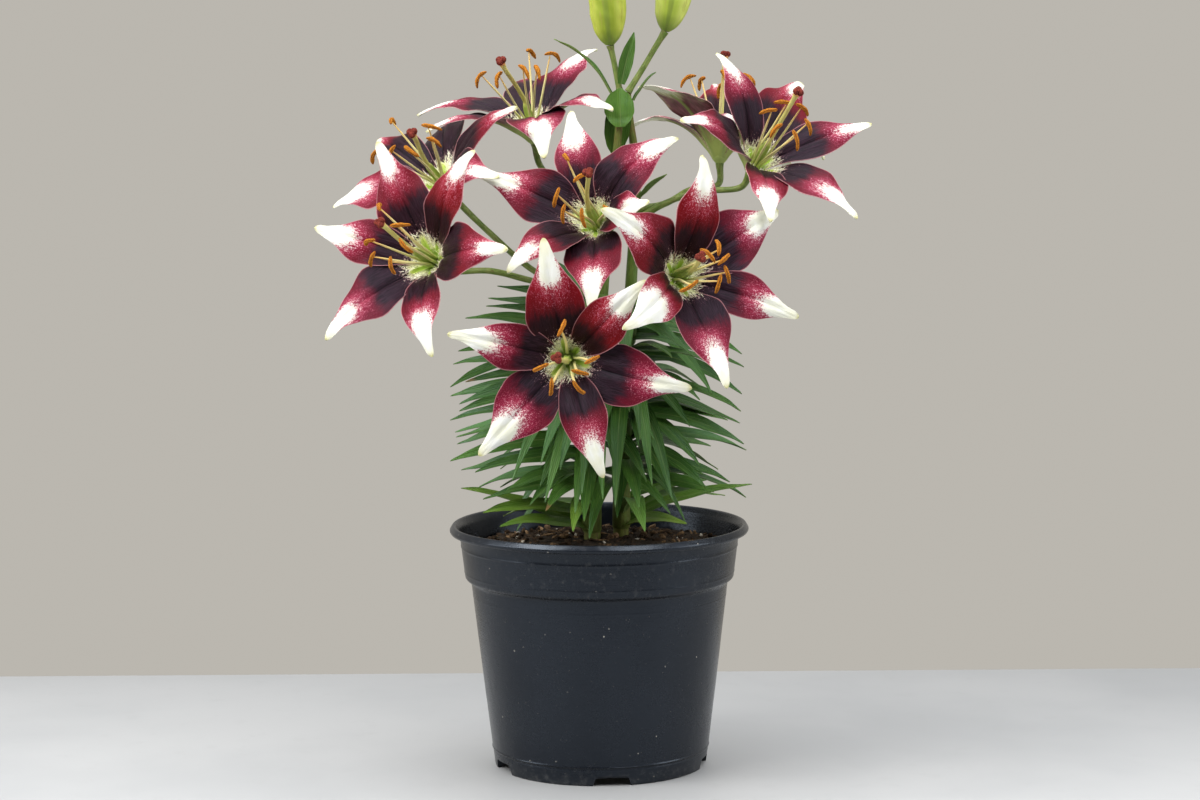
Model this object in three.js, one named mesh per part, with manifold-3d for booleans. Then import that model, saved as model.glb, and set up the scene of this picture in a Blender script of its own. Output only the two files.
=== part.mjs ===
// A potted lily: eight open flowers and two buds on two leafy stems, in a round nursery pot.
// Millimetres, +Z up. The origin is the centre of the pot's underside, and -Y is the front.
import * as THREE from 'three';
import { mergeVertices } from 'three/addons/utils/BufferGeometryUtils.js';
import Module from 'manifold-3d';

const wasm = await Module();
wasm.setup();

// ---------------------------------------------------------------- driving dimensions
const RIM_RADIUS = 85;              // outside of the rolled rim
const RIM_TOP = 138.4;              // height of the pot
const COLLAR_RADIUS = 76.6;         // band under the rim, at its lower edge
const COLLAR_BOTTOM = 106.7;        // height of the step under the band
const BODY_TOP_RADIUS = 72.9;
const BODY_FOOT_RADIUS = 62;
const FOOT_RADIUS = 60.4;
const FOOT_HEIGHT = 11;
const WALL = 1.7;
const DRAIN_SLOTS = 5, DRAIN_SLOT_START = 6, DRAIN_SLOT_WIDTH = 20, DRAIN_SLOT_TOP = 5.6;
const SOIL_EDGE = 124.5, SOIL_CROWN = 130;
const STEM_SOCKET_BOTTOM = 72;      // how far down the stems go in the soil
const GAP = 0.3;                    // left between pieces that touch
const STEM_RADII = { left: [4.9, 4.8, 4.5, 4.2, 3.8, 3.2, 2.6, 2.0, 1.7], right: [4.5, 4.4, 4.2, 3.9, 3.5, 3.1, 2.7, 2.3, 1.9, 1.6] };
const STALK_RADIUS = [2.1, 1.7, 1.7, 2.1];
const PETAL_BASE_RADIUS = 3;
const INNER_PETAL_WIDTH = 34, OUTER_PETAL_WIDTH = 25.5;
const INNER_PROFILE = [[0, 0.16], [0.1, 0.22], [0.2, 0.44], [0.32, 0.82], [0.45, 1], [0.58, 0.88], [0.7, 0.62], [0.8, 0.42], [0.9, 0.27], [0.96, 0.16], [1, 0]];
const OUTER_PROFILE = [[0, 0.22], [0.1, 0.32], [0.2, 0.52], [0.32, 0.8], [0.45, 0.98], [0.55, 1], [0.67, 0.82], [0.78, 0.56], [0.88, 0.36], [0.95, 0.22], [1, 0]];
const PETAL_STATIONS = [0, 0.24, 0.45, 0.68, 0.91];
const PETAL_CUP = [[0, 0.15], [0.25, 0.35], [0.5, 0.05], [0.75, -0.15], [1, -0.25]];
const PETAL_THICKNESS = [[0, 1.6], [0.3, 1.2], [1, 0.9]];
const FILAMENT_LENGTH = 47, ANTHER_LENGTH = 11, STYLE_LENGTH = 57;
const LEAF_THICKNESS = 1.0;
const LEAF_STATIONS = [0, 0.35, 0.78];
const LEAF_PROFILE = [[0, 0.5], [0.18, 0.82], [0.42, 1], [0.68, 0.8], [0.88, 0.4], [1, 0]];
const BROAD_PROFILE = [[0, 0.3], [0.18, 0.72], [0.42, 1], [0.68, 0.95], [0.88, 0.62], [1, 0]];
const SLEEVE = 0.9;                 // thickness of the leaf bases that clasp a stem

// ---------------------------------------------------------------- flowers, leaves and stems
// Each flower: the centre of its base, the axis out of its throat, its petals (name, inner or outer,
// azimuth, three angles of the midrib from the axis, sideways bend, length), its stamens and its style
// (azimuth, angle from the axis).
const FLOWERS = {
  front: { c: [-15.8, -80, 240.1], ax: [-0.0375, -0.9992, 0.0166], tepals: [
    ["a1", "i", 13.3, 34.1, 65.3, 106.6, -7.7, 74],
    ["a2", "i", 253.6, 35.2, 69, 105.9, 8.1, 74],
    ["a3", "i", 135.8, 36, 69.4, 103.3, 2.3, 74],
    ["a4", "o", 72.5, 34, 63.9, 106.2, 5.8, 72],
    ["a5", "o", 197.5, 33.7, 64.8, 107.8, -0.9, 72],
    ["a6", "o", 315.4, 32.1, 55.7, 106.3, 2, 72],
  ], stamens: [[4.2, 23], [91.3, 13.4], [148.2, 14.8], [209.8, 15.3], [245.9, 9.6], [279.9, 16.9]], style: [32.3, 5.7] },
  left: { c: [-87.8, -52, 290], ax: [-0.5171, -0.7781, 0.3567], tepals: [
    ["b1", "i", 24.6, 39, 68, 84.5, 11.3, 74],
    ["b2", "o", 327.1, 39.9, 59.3, 106.9, 5.1, 72],
    ["b3", "i", 268.1, 36.6, 64.3, 102.9, 5.2, 74],
    ["b4", "o", 204.1, 39.4, 66, 114.3, 3.5, 72],
    ["b5", "i", 141.6, 39.6, 65.7, 98.1, 0.5, 74],
    ["b6", "o", 84.2, 36.1, 64.3, 94.3, -2.7, 72],
  ], stamens: [[30, 23], [115.3, 10.4], [161.1, 15.8], [208.3, 20.1], [251.5, 17], [304.7, 11.1]], style: [306.3, 5.5] },
  upper_left: { c: [-83.8, 8, 327.6], ax: [-0.5315, -0.5, 0.6837], tepals: [
    ["c1", "i", 128.3, 36.7, 72.3, 117.8, -19.5, 74],
    ["c2", "o", 71.9, 35.2, 74.8, 112.4, 0.5, 72],
    ["c3", "i", 23.2, 37.4, 98.2, 122.2, 35.1, 74],
    ["c4", "o", 309, 41.3, 62.8, 103, -9.3, 72],
    ["c5", "i", 257, 33.8, 69.9, 122.8, 12.3, 74],
    ["c6", "o", 190, 38, 112, 168, 0, 66],
  ], stamens: [[58.7, 20], [139.4, 23], [199.6, 17.8], [233.6, 23.1], [267.6, 31], [289.4, 23.8]], style: [254.1, 24.1] },
  top_left: { c: [-35.9, 38, 355.5], ax: [-0.1738, -0.1961, 0.9651], tepals: [
    ["d1", "i", 249.1, 26.7, 69.7, 114.9, 14.5, 74],
    ["d2", "o", 302.2, 39.8, 68.5, 112.4, -4.5, 72],
    ["d3", "o", 182.9, 35.7, 71, 106.6, -5.1, 72],
    ["d4", "i", 128.8, 32.6, 53.3, 105.8, 6.1, 74],
    ["d5", "o", 57, 35.5, 73.1, 122.2, -22.9, 72],
    ["d6", "i", 11.4, 30.5, 88.2, 147.1, -13.4, 74],
  ], stamens: [[78.6, 23], [157.2, 20], [297.3, 31], [331.3, 31], [5.3, 26.6], [24, 30.2]], style: [340.9, 29.1] },
  middle: { c: [0.5, -33, 307.7], ax: [-0.2728, -0.8046, 0.5274], tepals: [
    ["e1", "i", 76.6, 30.9, 70, 103.5, -6.4, 74],
    ["e2", "o", 19.8, 34.4, 72.4, 114.5, -2.3, 72],
    ["e3", "i", 317.9, 28.4, 65.5, 134.4, -8.7, 74],
    ["e4", "o", 259.1, 27, 41.8, 72.6, 0.7, 58],
    ["e5", "i", 199.3, 36, 67.7, 91.2, -11.1, 74],
    ["e6", "o", 144.2, 36.9, 49.3, 93.7, 6.4, 72],
  ], stamens: [[23.3, 23], [134.8, 12.6], [168.8, 19.9], [202.8, 24.1], [236.8, 31], [312.8, 4.3]], style: [273.8, 11.6] },
  right: { c: [41.4, -75, 282.7], ax: [0.427, -0.8752, 0.2274], tepals: [
    ["f1", "i", 59.6, 34.5, 58.7, 101.1, -1.2, 74],
    ["f2", "o", 354.2, 33, 55.8, 116.1, -5.4, 72],
    ["f3", "i", 302.6, 34.9, 77.8, 122.9, -8, 74],
    ["f4", "o", 240.3, 36.6, 68.8, 107.9, 9.4, 72],
    ["f5", "i", 180.4, 36.7, 60.6, 89.1, 9.8, 74],
    ["f6", "o", 121.4, 32.9, 54.8, 100.2, 1.7, 72],
  ], stamens: [[56.3, 5.3], [128.6, 23], [181.7, 12.8], [215.7, 9.2], [280.5, 3.5], [347.4, 7.4]], style: [85.3, 14.1] },
  upper_right: { c: [86.5, -12, 338.5], ax: [0.3988, -0.5846, 0.7066], tepals: [
    ["g1", "i", 82.5, 39, 55.8, 105.7, 3.9, 74],
    ["g2", "o", 15.7, 31.5, 56.6, 114.3, -14.7, 72],
    ["g3", "i", 324.4, 36.1, 70.9, 114.4, -22.5, 74],
    ["g4", "o", 264.4, 35.8, 57.5, 77.7, 5.7, 72],
    ["g5", "i", 200.4, 44.3, 64.1, 101.9, -2, 74],
    ["g6", "o", 146.9, 36.8, 71, 105.4, 8.7, 72],
  ], stamens: [[30.7, 3.4], [96.6, 16.3], [130.6, 23.3], [164.6, 25], [204.3, 16.2], [260.2, 8.1]], style: [26.7, 0.9] },
  back_right: { c: [71.2, 46, 343.1], ax: [0.036, 0.1642, 0.9858], tepals: [
    ["h1", "i", 308, 29.6, 55.4, 111.3, -2.2, 74],
    ["h2", "i", 186.2, 33.4, 38.3, 76.1, -9.5, 74],
    ["h3", "i", 68, 34, 92, 150, 0, 72],
    ["h4", "o", 128, 34, 98, 158, 0, 68],
    ["h5", "o", 8, 28, 72, 165, 0, 58],
    ["h6", "o", 248, 30, 66, 118, -14, 66],
  ], stamens: [[43.7, 23], [88.7, 17], [178.7, 26.8], [223.7, 20], [268.7, 23], [358.7, 20]], style: [10, 6] },
};
// Centre lines of the two stems, from the soil up.
const STEMS = {
  left: [[-4.2, -3, 117.4], [-4.1, -3, 126], [-3.3, -3, 163.3], [-1.3, -2, 208.8], [1.3, 0, 254.1], [5, 2, 293.5], [9.7, 3, 332.8], [12.8, 2, 365.3], [13.4, 1, 382.1]],
  right: [[12.4, 6, 115.7], [12.4, 6, 124.4], [13.2, 7, 161.8], [15.2, 9, 207.5], [17.8, 10, 253.2], [20.3, 11, 292.9], [22.2, 11, 321.2], [21.2, 10, 349.4], [19, 9, 367.4], [18, 8, 382]],
};
// Flower stalks: the stem, where the stalk leaves it, and points on the way.
const STALKS = {
  front: ["left", [1.3, 0, 248.4], []],
  left: ["left", [0.2, 0, 255.2], [[-21, -12, 272.6], [-40.3, -22, 279], [-59.2, -33, 284.3]]],
  upper_left: ["left", [2, 1, 265.3], [[-21.2, 4, 273.8], [-38.1, 6, 283.4], [-60.7, 10, 303.1]]],
  top_left: ["left", [6.2, 3, 303.6], [[-9.6, 16, 317.8], [-25, 28, 332.3]]],
  middle: ["left", [5.5, 1, 286.8], []],
  right: ["right", [18.4, 10, 264.5], []],
  upper_right: ["right", [21.5, 11, 308.7], [[35.7, 9, 317.8], [57.1, 4, 325.7]]],
  back_right: ["right", [22.1, 11, 315.5], [[38.1, 13, 318.7], [53.2, 24, 326.2]]],
};
// Buds: the stem, where the stalk leaves it, points on the way, base, tip, width.
const BUDS = {
  left: ["left", [13.4, 1, 382.1], [[10.2, 0, 398.8]], [8, -1, 408.2], [2.3, -5, 472.6], 21],
  right: ["right", [18, 8, 382], [[27.7, 10, 397.1], [33.4, 12, 406.6]], [39.1, 13, 416], [58, 18, 478], 20.5],
};
// Leaves: stem, tier, base, tip, arch, width, roll.
const LEAVES = [
  ["left", 7, [0, 4.2, 266.2], [-35, 57, 287.7], 1, 7.5, -40],
  ["left", 7, [-2.3, 0, 262.8], [-56.5, -5, 274.1], 2, 7, -42],
  ["left", 7, [-2.5, 2.2, 256], [-63.2, 35, 264.4], 2, 7.5, -40],
  ["left", 7, [-3.4, -0.2, 251.5], [-63, 0, 262.5], 3, 8.1, -30],
  ["left", 6, [-3.6, 0.7, 245.8], [-75.8, 18, 254.3], 4, 8.7, -42],
  ["left", 6, [-4.3, -1.6, 236.7], [-78.4, -15, 238.4], 4, 9.3, -51],
  ["left", 6, [-4.4, 0.6, 233.1], [-83.6, 30, 226.8], 4, 9.3, -36],
  ["left", 6, [-4.5, -2, 233.1], [-82.8, -20, 218.7], 10, 10.4, -30],
  ["left", 5, [-5.5, -0.4, 218.9], [-85, 20, 209.3], 5, 9.9, -49],
  ["left", 5, [-5.2, -3.4, 219.5], [-77.3, -32, 210.4], 7, 9.9, -41],
  ["left", 4, [-6.1, -1.5, 211.5], [-79.2, 4, 202.4], 6, 10.4, -33],
  ["left", 4, [-6.1, -0.5, 206.8], [-85.5, 26, 194.8], 4, 9.9, -42],
  ["left", 3, [-5.9, 0.4, 200.2], [-83.9, 48, 185.1], 3, 9.3, -44],
  ["left", 3, [-6.8, -1.5, 195], [-80.9, 10, 182.8], 5, 9.3, -33],
  ["left", 2, [-7.3, -3.4, 187.3], [-83.5, -18, 176.7], 5, 11, -48],
  ["left", 2, [-7.1, -0.4, 180.9], [-80, 34, 164.6], 3, 8.1, -40],
  ["left", 0, [-9.2, -3.4, 138.7], [-78, -8, 160], 3, 8.7, -33],
  ["left", 1, [-7.9, -5.6, 160.7], [-64.4, -38, 157.9], 4, 9.9, -28],
  ["left", 0, [-8.1, -6, 144.7], [-64.3, -44, 151.1], 5, 10.4, -42],
  ["left", 0, [-7.6, -7, 136.3], [-54.5, -58, 145.5], 5, 11, -24],
  ["right", 5, [21.7, 8.9, 254.6], [81.1, -8, 235], 6, 8.7, 37],
  ["right", 5, [21.5, 10.6, 246], [83.8, 22, 224.7], 5, 8.7, 43],
  ["right", 4, [20.9, 9.3, 232.8], [81.8, 6, 210.8], 8, 9.9, 39],
  ["right", 3, [20.1, 7.8, 219.5], [80.3, -12, 203.1], 6, 10.4, 27],
  ["right", 3, [19.7, 10.3, 211.1], [81.7, 28, 191.6], 5, 9.3, 33],
  ["right", 2, [19.5, 7.8, 200.3], [82.4, -4, 183.4], 7, 10.4, 39],
  ["right", 2, [18.3, 10.9, 188.7], [65.6, 44, 176.3], 3, 9.3, 38],
  ["right", 1, [18.4, 8.7, 173.8], [75.7, 24, 157.9], 5, 8.7, 41],
  ["right", 0, [17.7, 6.2, 139.9], [87.3, 4, 159.4], 5, 8.7, 38],
  ["right", 0, [17.2, 9.3, 151.4], [66.5, 40, 157.8], 4, 9.9, 28],
  ["right", 0, [15.3, 2, 136.8], [48.4, -52, 145.4], 4, 10.4, 24],
  ["right", 5, [22.1, 10.5, 259.3], [58.3, 14, 238.2], 5, 9.3, 32],
  ["right", 1, [17, 4, 177.5], [59.2, -46, 164.3], 11, 9.9, 29],
  ["left", 5, [-3.6, -5.4, 219.7], [-47.4, -62, 170.7], 23.4, 9.7, -24],
  ["left", 4, [-3.1, -6.6, 208.3], [-31.2, -80.2, 183.1], 21, 9.2, -15],
  ["left", 3, [-3.5, -6.8, 199.8], [-29.3, -72, 160.4], 23.4, 9.2, -14],
  ["left", 3, [-3, -7.2, 195.2], [-20.8, -84, 180.1], 19.8, 8.6, -7],
  ["left", 2, [-3.2, -7.6, 182.6], [-13, -74, 154.6], 19.8, 9.7, -5],
  ["left", 4, [-1.9, -7, 207.1], [-9.1, -84, 166.9], 27, 9.2, -4],
  ["left", 2, [-2, -7.5, 186.1], [2.2, -88, 164.2], 21.6, 8.6, 2],
  ["right", 2, [14.9, 4.4, 207.5], [8.7, -80, 159.1], 25.2, 10.3, -2],
  ["right", 3, [16.4, 4.8, 219.3], [28.8, -80, 170.4], 23.4, 9.2, 5],
  ["right", 2, [16.5, 4.4, 202.9], [39.9, -66, 160.7], 23.4, 9.2, 16],
  ["right", 1, [14, 2.5, 168.6], [21.7, -72, 157.1], 16.2, 11.9, 5],
  ["right", 0, [13.5, 1.6, 144.5], [24.9, -74, 144.7], 14.4, 11.9, 6],
  ["left", 0, [-4.5, -8.3, 144.5], [-14.2, -74, 145], 14.4, 12.4, -6],
  ["left", 0, [-5.4, -7.9, 157.1], [-29, -66, 155.1], 11.2, 11.3, -21],
  ["right", 4, [18.2, 5.5, 237.5], [40.4, -58, 238.3], 6, 9.3, 11],
  ["left", 6, [-2.6, -5.1, 231], [-42.5, -70, 205.7], 16.2, 9.2, -23],
  ["right", 3, [18.5, 5.6, 223], [55.9, -50, 213.7], 7, 9.9, 16],
  ["left", 6, [-0.5, -5, 243.5], [-12.3, -52.8, 209.6], 14.3, 8.6, -9],
  ["right", 4, [16.9, 5.1, 233], [22.4, -84, 196], 21.6, 9.2, 3],
  ["left", 5, [-4.8, -2.8, 226.4], [-73.9, -25.2, 222.1], 3.7, 9.9, -43],
  ["left", 3, [-6.7, -0.9, 194.6], [-82, 22, 185.4], 4, 9.9, -29],
  ["left", 2, [-7.3, -4.9, 178.2], [-68.8, -34, 172.5], 4, 9.9, -38],
  ["left", 1, [-7.4, -0.1, 170.8], [-57.3, 30, 155], 4, 9.3, -30],
  ["left", 1, [-7, -6.6, 164.1], [-50.9, -49.5, 164.3], 7.5, 10.4, -20],
  ["right", 4, [19.5, 6.2, 236.3], [62.7, -46, 233.1], 4, 10.4, 18],
  ["right", 5, [20.3, 6.8, 242.9], [61.1, -30, 235.5], 4, 9.9, 21],
  ["right", 5, [20, 6.4, 261.2], [44.2, -44, 255.1], 4, 11, 13],
  ["right", 2, [19.1, 10.9, 202], [75.3, 40, 192], 4, 9.3, 32],
  ["right", 1, [15.5, 3.2, 178.9], [40.6, -65.4, 160.1], 18.7, 9.7, 15],
  ["right", 0, [17.2, 4.1, 160.8], [64.3, -30, 159.8], 5, 9.9, 34],
  ["right", 1, [17, 3.9, 171.8], [57.8, -37.7, 170.9], 4.8, 10.4, 28],
  ["left", 1, [-5.9, -7.5, 164.3], [-37.8, -62, 157.6], 10.8, 10.3, -15],
  ["left", 1, [-8.2, -4.7, 161.5], [-46.5, -17.8, 136.5], 15.5, 10.2, -15],
  ["left", 1, [1, -6.1, 168.1], [39.8, -36.2, 148.5], 9.1, 9.7, 24],
  ["left", 1, [-3.2, -7.9, 174.5], [-8.1, -68.9, 149.8], 9.9, 10.3, -2],
  ["left", 2, [-7.4, -4, 181.1], [-45.8, -14.5, 149.1], 7.6, 9.2, -28],
  ["left", 2, [0.3, -6.9, 187.5], [26.3, -52.7, 168.8], 13.8, 10.1, 14],
  ["left", 3, [-4.7, -6.5, 194.1], [-32.4, -48.6, 166.1], 13.5, 10.3, -17],
  ["left", 3, [3.3, -2.3, 200.5], [41.5, -2.7, 166.1], 12.9, 9.5, 21],
  ["left", 4, [-0.5, -6.8, 207.6], [9.8, -61.3, 174.3], 16.1, 10.2, 1],
  ["left", 4, [-5.1, -4.4, 214], [-38.9, -26.4, 194.1], 12.9, 10.6, -25],
  ["left", 5, [2.2, -5.3, 220.6], [30.5, -43.4, 191.3], 10.6, 10.2, 9],
  ["left", 5, [-1.8, -5.7, 227], [-16.7, -49.3, 212.2], 9.1, 9.9, -10],
  ["left", 6, [-4.5, -0.2, 233.6], [-60.4, 8.5, 212.1], 9.3, 10, -15],
  ["left", 6, [1.9, -5.1, 240], [17.4, -48.8, 207.3], 8, 9.9, 10],
  ["left", 6, [-3.3, -2.5, 246.6], [-43.1, -22.6, 237.1], 10.6, 10, -11],
  ["left", 7, [4.9, -2.7, 253], [52.8, -36.8, 236.5], 11.7, 10.4, 25],
  ["left", 7, [1.4, -4.2, 259.6], [-2.7, -59.9, 228.9], 10.1, 10.2, -2],
  ["right", 0, [11.8, 2.2, 159.3], [-5.5, -62, 138.9], 18.6, 10.5, -9],
  ["right", 1, [16.6, 3.6, 165.9], [48.2, -32, 142.9], 16.3, 9.6, 9],
  ["right", 1, [13.4, 2.7, 172.6], [10, -47.9, 148.3], 10, 10.3, -3],
  ["right", 1, [9.2, 8.3, 179.2], [-24, 11.4, 151.5], 14.1, 9, -14],
  ["right", 2, [19, 7.2, 185.8], [39.9, 3, 175.9], 7, 9.6, 12],
  ["right", 2, [13.5, 3.7, 192.4], [5.1, -35, 193.8], 6, 10.5, -14],
  ["right", 2, [19.1, 6.9, 199.1], [57.2, -7.9, 171.5], 9.2, 10.6, 28],
  ["right", 2, [15.6, 4.3, 205.7], [22, -48.7, 188.1], 13.8, 9.5, 4],
  ["right", 3, [11, 8.8, 213.9], [-42.9, 4.9, 207.8], 9.8, 9.1, -22],
  ["right", 3, [19.1, 6.1, 220.5], [51.1, -25.9, 196.3], 8.2, 9, 21],
  ["right", 4, [15.1, 5.1, 227.2], [2.7, -45.9, 195.8], 13.9, 10.5, -8],
  ["right", 4, [12.2, 9.9, 233.8], [-40, 14.5, 214.3], 10.6, 10.2, -13],
  ["right", 5, [16.9, 5.4, 241.1], [15.3, -49.4, 223.2], 18.6, 9.2, 7],
  ["right", 5, [15.5, 6, 247.7], [-7.3, -39.6, 233.7], 7.3, 9.6, -15],
  ["right", 5, [21.5, 8.2, 254.4], [64, -12, 212.8], 10.2, 10, 26],
  ["right", 5, [17.9, 6, 261], [14.5, -51.1, 230.4], 10, 9.7, -1],
  ["left", 0, [-3.5, 2.4, 139.9], [0.4, 64.7, 133.7], 13.2, 9, 3],
  ["left", 0, [-7.7, 0.4, 147.8], [-56.1, 41.2, 136.3], 6.3, 10.1, -22],
  ["left", 0, [-4.8, 2.1, 155.7], [-23, 71.2, 147.4], 7.8, 9.1, -8],
  ["left", 1, [-8.2, -1.2, 163.9], [-69.8, 22.3, 155.8], 9, 9.6, -28],
  ["left", 1, [-7, 0.3, 171.7], [-57.4, 38.9, 164.4], 11.5, 10.4, -16],
  ["left", 2, [-3.3, 2.4, 179.6], [-10.5, 57.5, 173.4], 11.9, 8.7, 0],
  ["left", 2, [-6.5, 0.3, 187.5], [-58.6, 35.1, 169.9], 8.8, 10.3, -25],
  ["left", 3, [-3.8, 2.3, 195.4], [-30, 65, 177.8], 9, 9, -12],
  ["left", 3, [-6.1, -0.2, 203.2], [-69.9, 27, 186.5], 9.7, 9, -21],
  ["left", 4, [-4.6, 1.6, 211.6], [-49, 48.6, 204.7], 11, 8.9, -21],
  ["left", 5, [-0.9, 3.2, 219.5], [-3.7, 62.4, 202.1], 11.1, 10.1, -4],
  ["left", 5, [-4.2, 1.5, 227.4], [-59.1, 38.6, 201.5], 3.9, 9.6, -25],
  ["left", 6, [-1.7, 3.4, 235.2], [-30.2, 68.4, 217], 13.2, 9.7, -10],
  ["left", 6, [0.8, 4.1, 243.1], [4, 64.2, 227.8], 7.9, 8.9, 2],
  ["left", 7, [-2.4, 2.6, 251], [-54.8, 44.5, 235.8], 11.9, 9.7, -23],
  ["left", 7, [0.3, 4.4, 258.9], [-19.4, 66, 238], 10.1, 8.9, -9],
  ["right", 0, [16.9, 9.3, 141.9], [74, 48.4, 146.6], 8.4, 8.8, 25],
  ["right", 0, [13, 11.7, 149.6], [14.6, 85.5, 154.9], 10, 9.1, 1],
  ["right", 0, [15.9, 10.9, 157.4], [57.4, 70.5, 144.8], 6.8, 10.1, 17],
  ["right", 1, [17.8, 8.9, 165.1], [85.6, 35.7, 147.2], 9.4, 8.9, 28],
  ["right", 1, [14.9, 12.2, 172.9], [30.7, 75.5, 154.5], 9.3, 8.9, 7],
  ["right", 1, [17.5, 11, 180.6], [70.4, 59.2, 160.5], 9.4, 9.3, 22],
  ["right", 2, [19.1, 8.9, 188.4], [84.9, 19, 177.1], 6.2, 10.2, 30],
  ["right", 2, [16.8, 12.7, 196.1], [47, 72.2, 178.1], 7.9, 10, 14],
  ["right", 2, [19.1, 10.9, 203.9], [69.3, 35.7, 194], 7.6, 8.8, 24],
  ["right", 3, [15.9, 13.6, 213.2], [23.5, 83.9, 191.2], 8.6, 9.5, 3],
  ["right", 3, [18.8, 12.7, 221], [63.2, 66.1, 205.8], 9.5, 9.8, 19],
  ["right", 4, [20.5, 10.7, 228.7], [82, 29.1, 209.7], 10.6, 10.2, 29],
  ["right", 4, [18.2, 13.7, 236.5], [38.3, 72.2, 208.3], 6, 10, 10],
  ["right", 5, [20.6, 12.4, 244.9], [74.4, 53.5, 233.6], 8.5, 10.1, 24],
  ["right", 5, [17.5, 14.1, 252.7], [15.7, 73.9, 230.5], 10.8, 9.5, -1],
  ["right", 5, [20.3, 13.6, 260.4], [55.2, 69.9, 247.1], 7.2, 9.3, 16],
];
// Upper leaves: name, base, tip, arch, width, roll, whether broad.
const BRACTS = [
  ["round_bract", [13.5, -2.5, 362.6], [13.4, -1.3, 384.3], -0.5, 17.5, -14, true],
  ["drooping_bract", [14, 4.6, 376.5], [9.9, 8, 345.6], 3, 15, 0, true],
  ["upright_bract", [14, -2.9, 386.5], [21.4, -6, 415.2], 1, 8, 0, false],
  ["bent_bract", [10.3, 1, 378.7], [-23.4, 6, 411.9], 8, 5, 0, false],
  ["small_bract", [20.8, 9, 377.5], [33.9, 16, 393.1], 3, 3.5, 0, false],
  ["fork_bract", [23.3, 7.4, 321.9], [39.4, -4, 336.2], 2, 6, 0, false],
  ["long_bract", [25, 14, 308.6], [50.9, 24, 320.5], 3, 8, 0, false],
  ["low_bract", [24.3, 8, 306], [42.2, 0, 303.5], 4, 11, 0, false],
];

const V = (a) => new THREE.Vector3(a[0], a[1], a[2]);
const rad = THREE.MathUtils.degToRad;

// ---------------------------------------------------------------- solids
// A closed solid from rings of points, each ring with the same number of points. A thin blade's two
// sides are split along matching diagonals, so that they never pass through each other.
function loft(rings, startPoint = null, endPoint = null, blade = false) {
  const n = rings[0].length, pos = [], idx = [];
  for (const ring of rings) for (const p of ring) pos.push(p.x, p.y, p.z);
  for (let i = 0; i + 1 < rings.length; i++)
    for (let j = 0; j < n; j++) {
      const a = i * n + j, b = i * n + (j + 1) % n, c = a + n, d = b + n;
      if (blade && j >= n / 2) idx.push(a, b, c, b, d, c); else idx.push(a, b, d, a, d, c);
    }
  const cap = (ring, at, flip) => {
    let c = at;
    if (!c) { c = new THREE.Vector3(); ring.forEach((p) => c.add(p)); c.divideScalar(ring.length); }
    const k = pos.length / 3, base = rings.indexOf(ring) * n;
    pos.push(c.x, c.y, c.z);
    for (let j = 0; j < n; j++) {
      const a = base + j, b = base + (j + 1) % n;
      if (flip) idx.push(k, b, a); else idx.push(k, a, b);
    }
  };
  cap(rings[0], startPoint, true);
  cap(rings[rings.length - 1], endPoint, false);
  const g = new THREE.BufferGeometry();
  g.setAttribute('position', new THREE.Float32BufferAttribute(pos, 3));
  g.setIndex(idx);
  return outward(g);
}
function volume(g) {
  const p = g.attributes.position, ix = g.index, a = new THREE.Vector3(), b = new THREE.Vector3(), c = new THREE.Vector3();
  let v = 0;
  for (let i = 0; i < ix.count; i += 3) {
    a.fromBufferAttribute(p, ix.getX(i)); b.fromBufferAttribute(p, ix.getX(i + 1)); c.fromBufferAttribute(p, ix.getX(i + 2));
    v += a.dot(b.cross(c)) / 6;
  }
  return v;
}
function outward(g) {
  if (volume(g) < 0) {
    const ix = g.index.array;
    for (let i = 0; i < ix.length; i += 3) { const t = ix[i]; ix[i] = ix[i + 1]; ix[i + 1] = t; }
  }
  return g;
}
function welded(g) {
  const h = g.clone();
  for (const k of Object.keys(h.attributes)) if (k !== 'position') h.deleteAttribute(k);
  return outward(mergeVertices(h, 1e-4));
}
function solid(g) {
  const h = welded(g);
  return new wasm.Manifold(new wasm.Mesh({ numProp: 3, vertProperties: new Float32Array(h.attributes.position.array), triVerts: new Uint32Array(h.index.array) }));
}
function geometry(m) {
  const mesh = m.getMesh(), g = new THREE.BufferGeometry(), vp = mesh.vertProperties, np = mesh.numProp;
  const pos = new Float32Array(vp.length / np * 3);
  for (let i = 0, k = 0; i < vp.length; i += np, k += 3) { pos[k] = vp[i]; pos[k + 1] = vp[i + 1]; pos[k + 2] = vp[i + 2]; }
  g.setAttribute('position', new THREE.BufferAttribute(pos, 3));
  g.setIndex(new THREE.BufferAttribute(new Uint32Array(mesh.triVerts), 1));
  g.computeVertexNormals();
  return g;
}
// The biggest connected body of a solid.
function main(m) {
  const parts = m.decompose();
  return parts.length < 2 ? m : parts.reduce((a, b) => (a.volume() >= b.volume() ? a : b));
}

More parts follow.
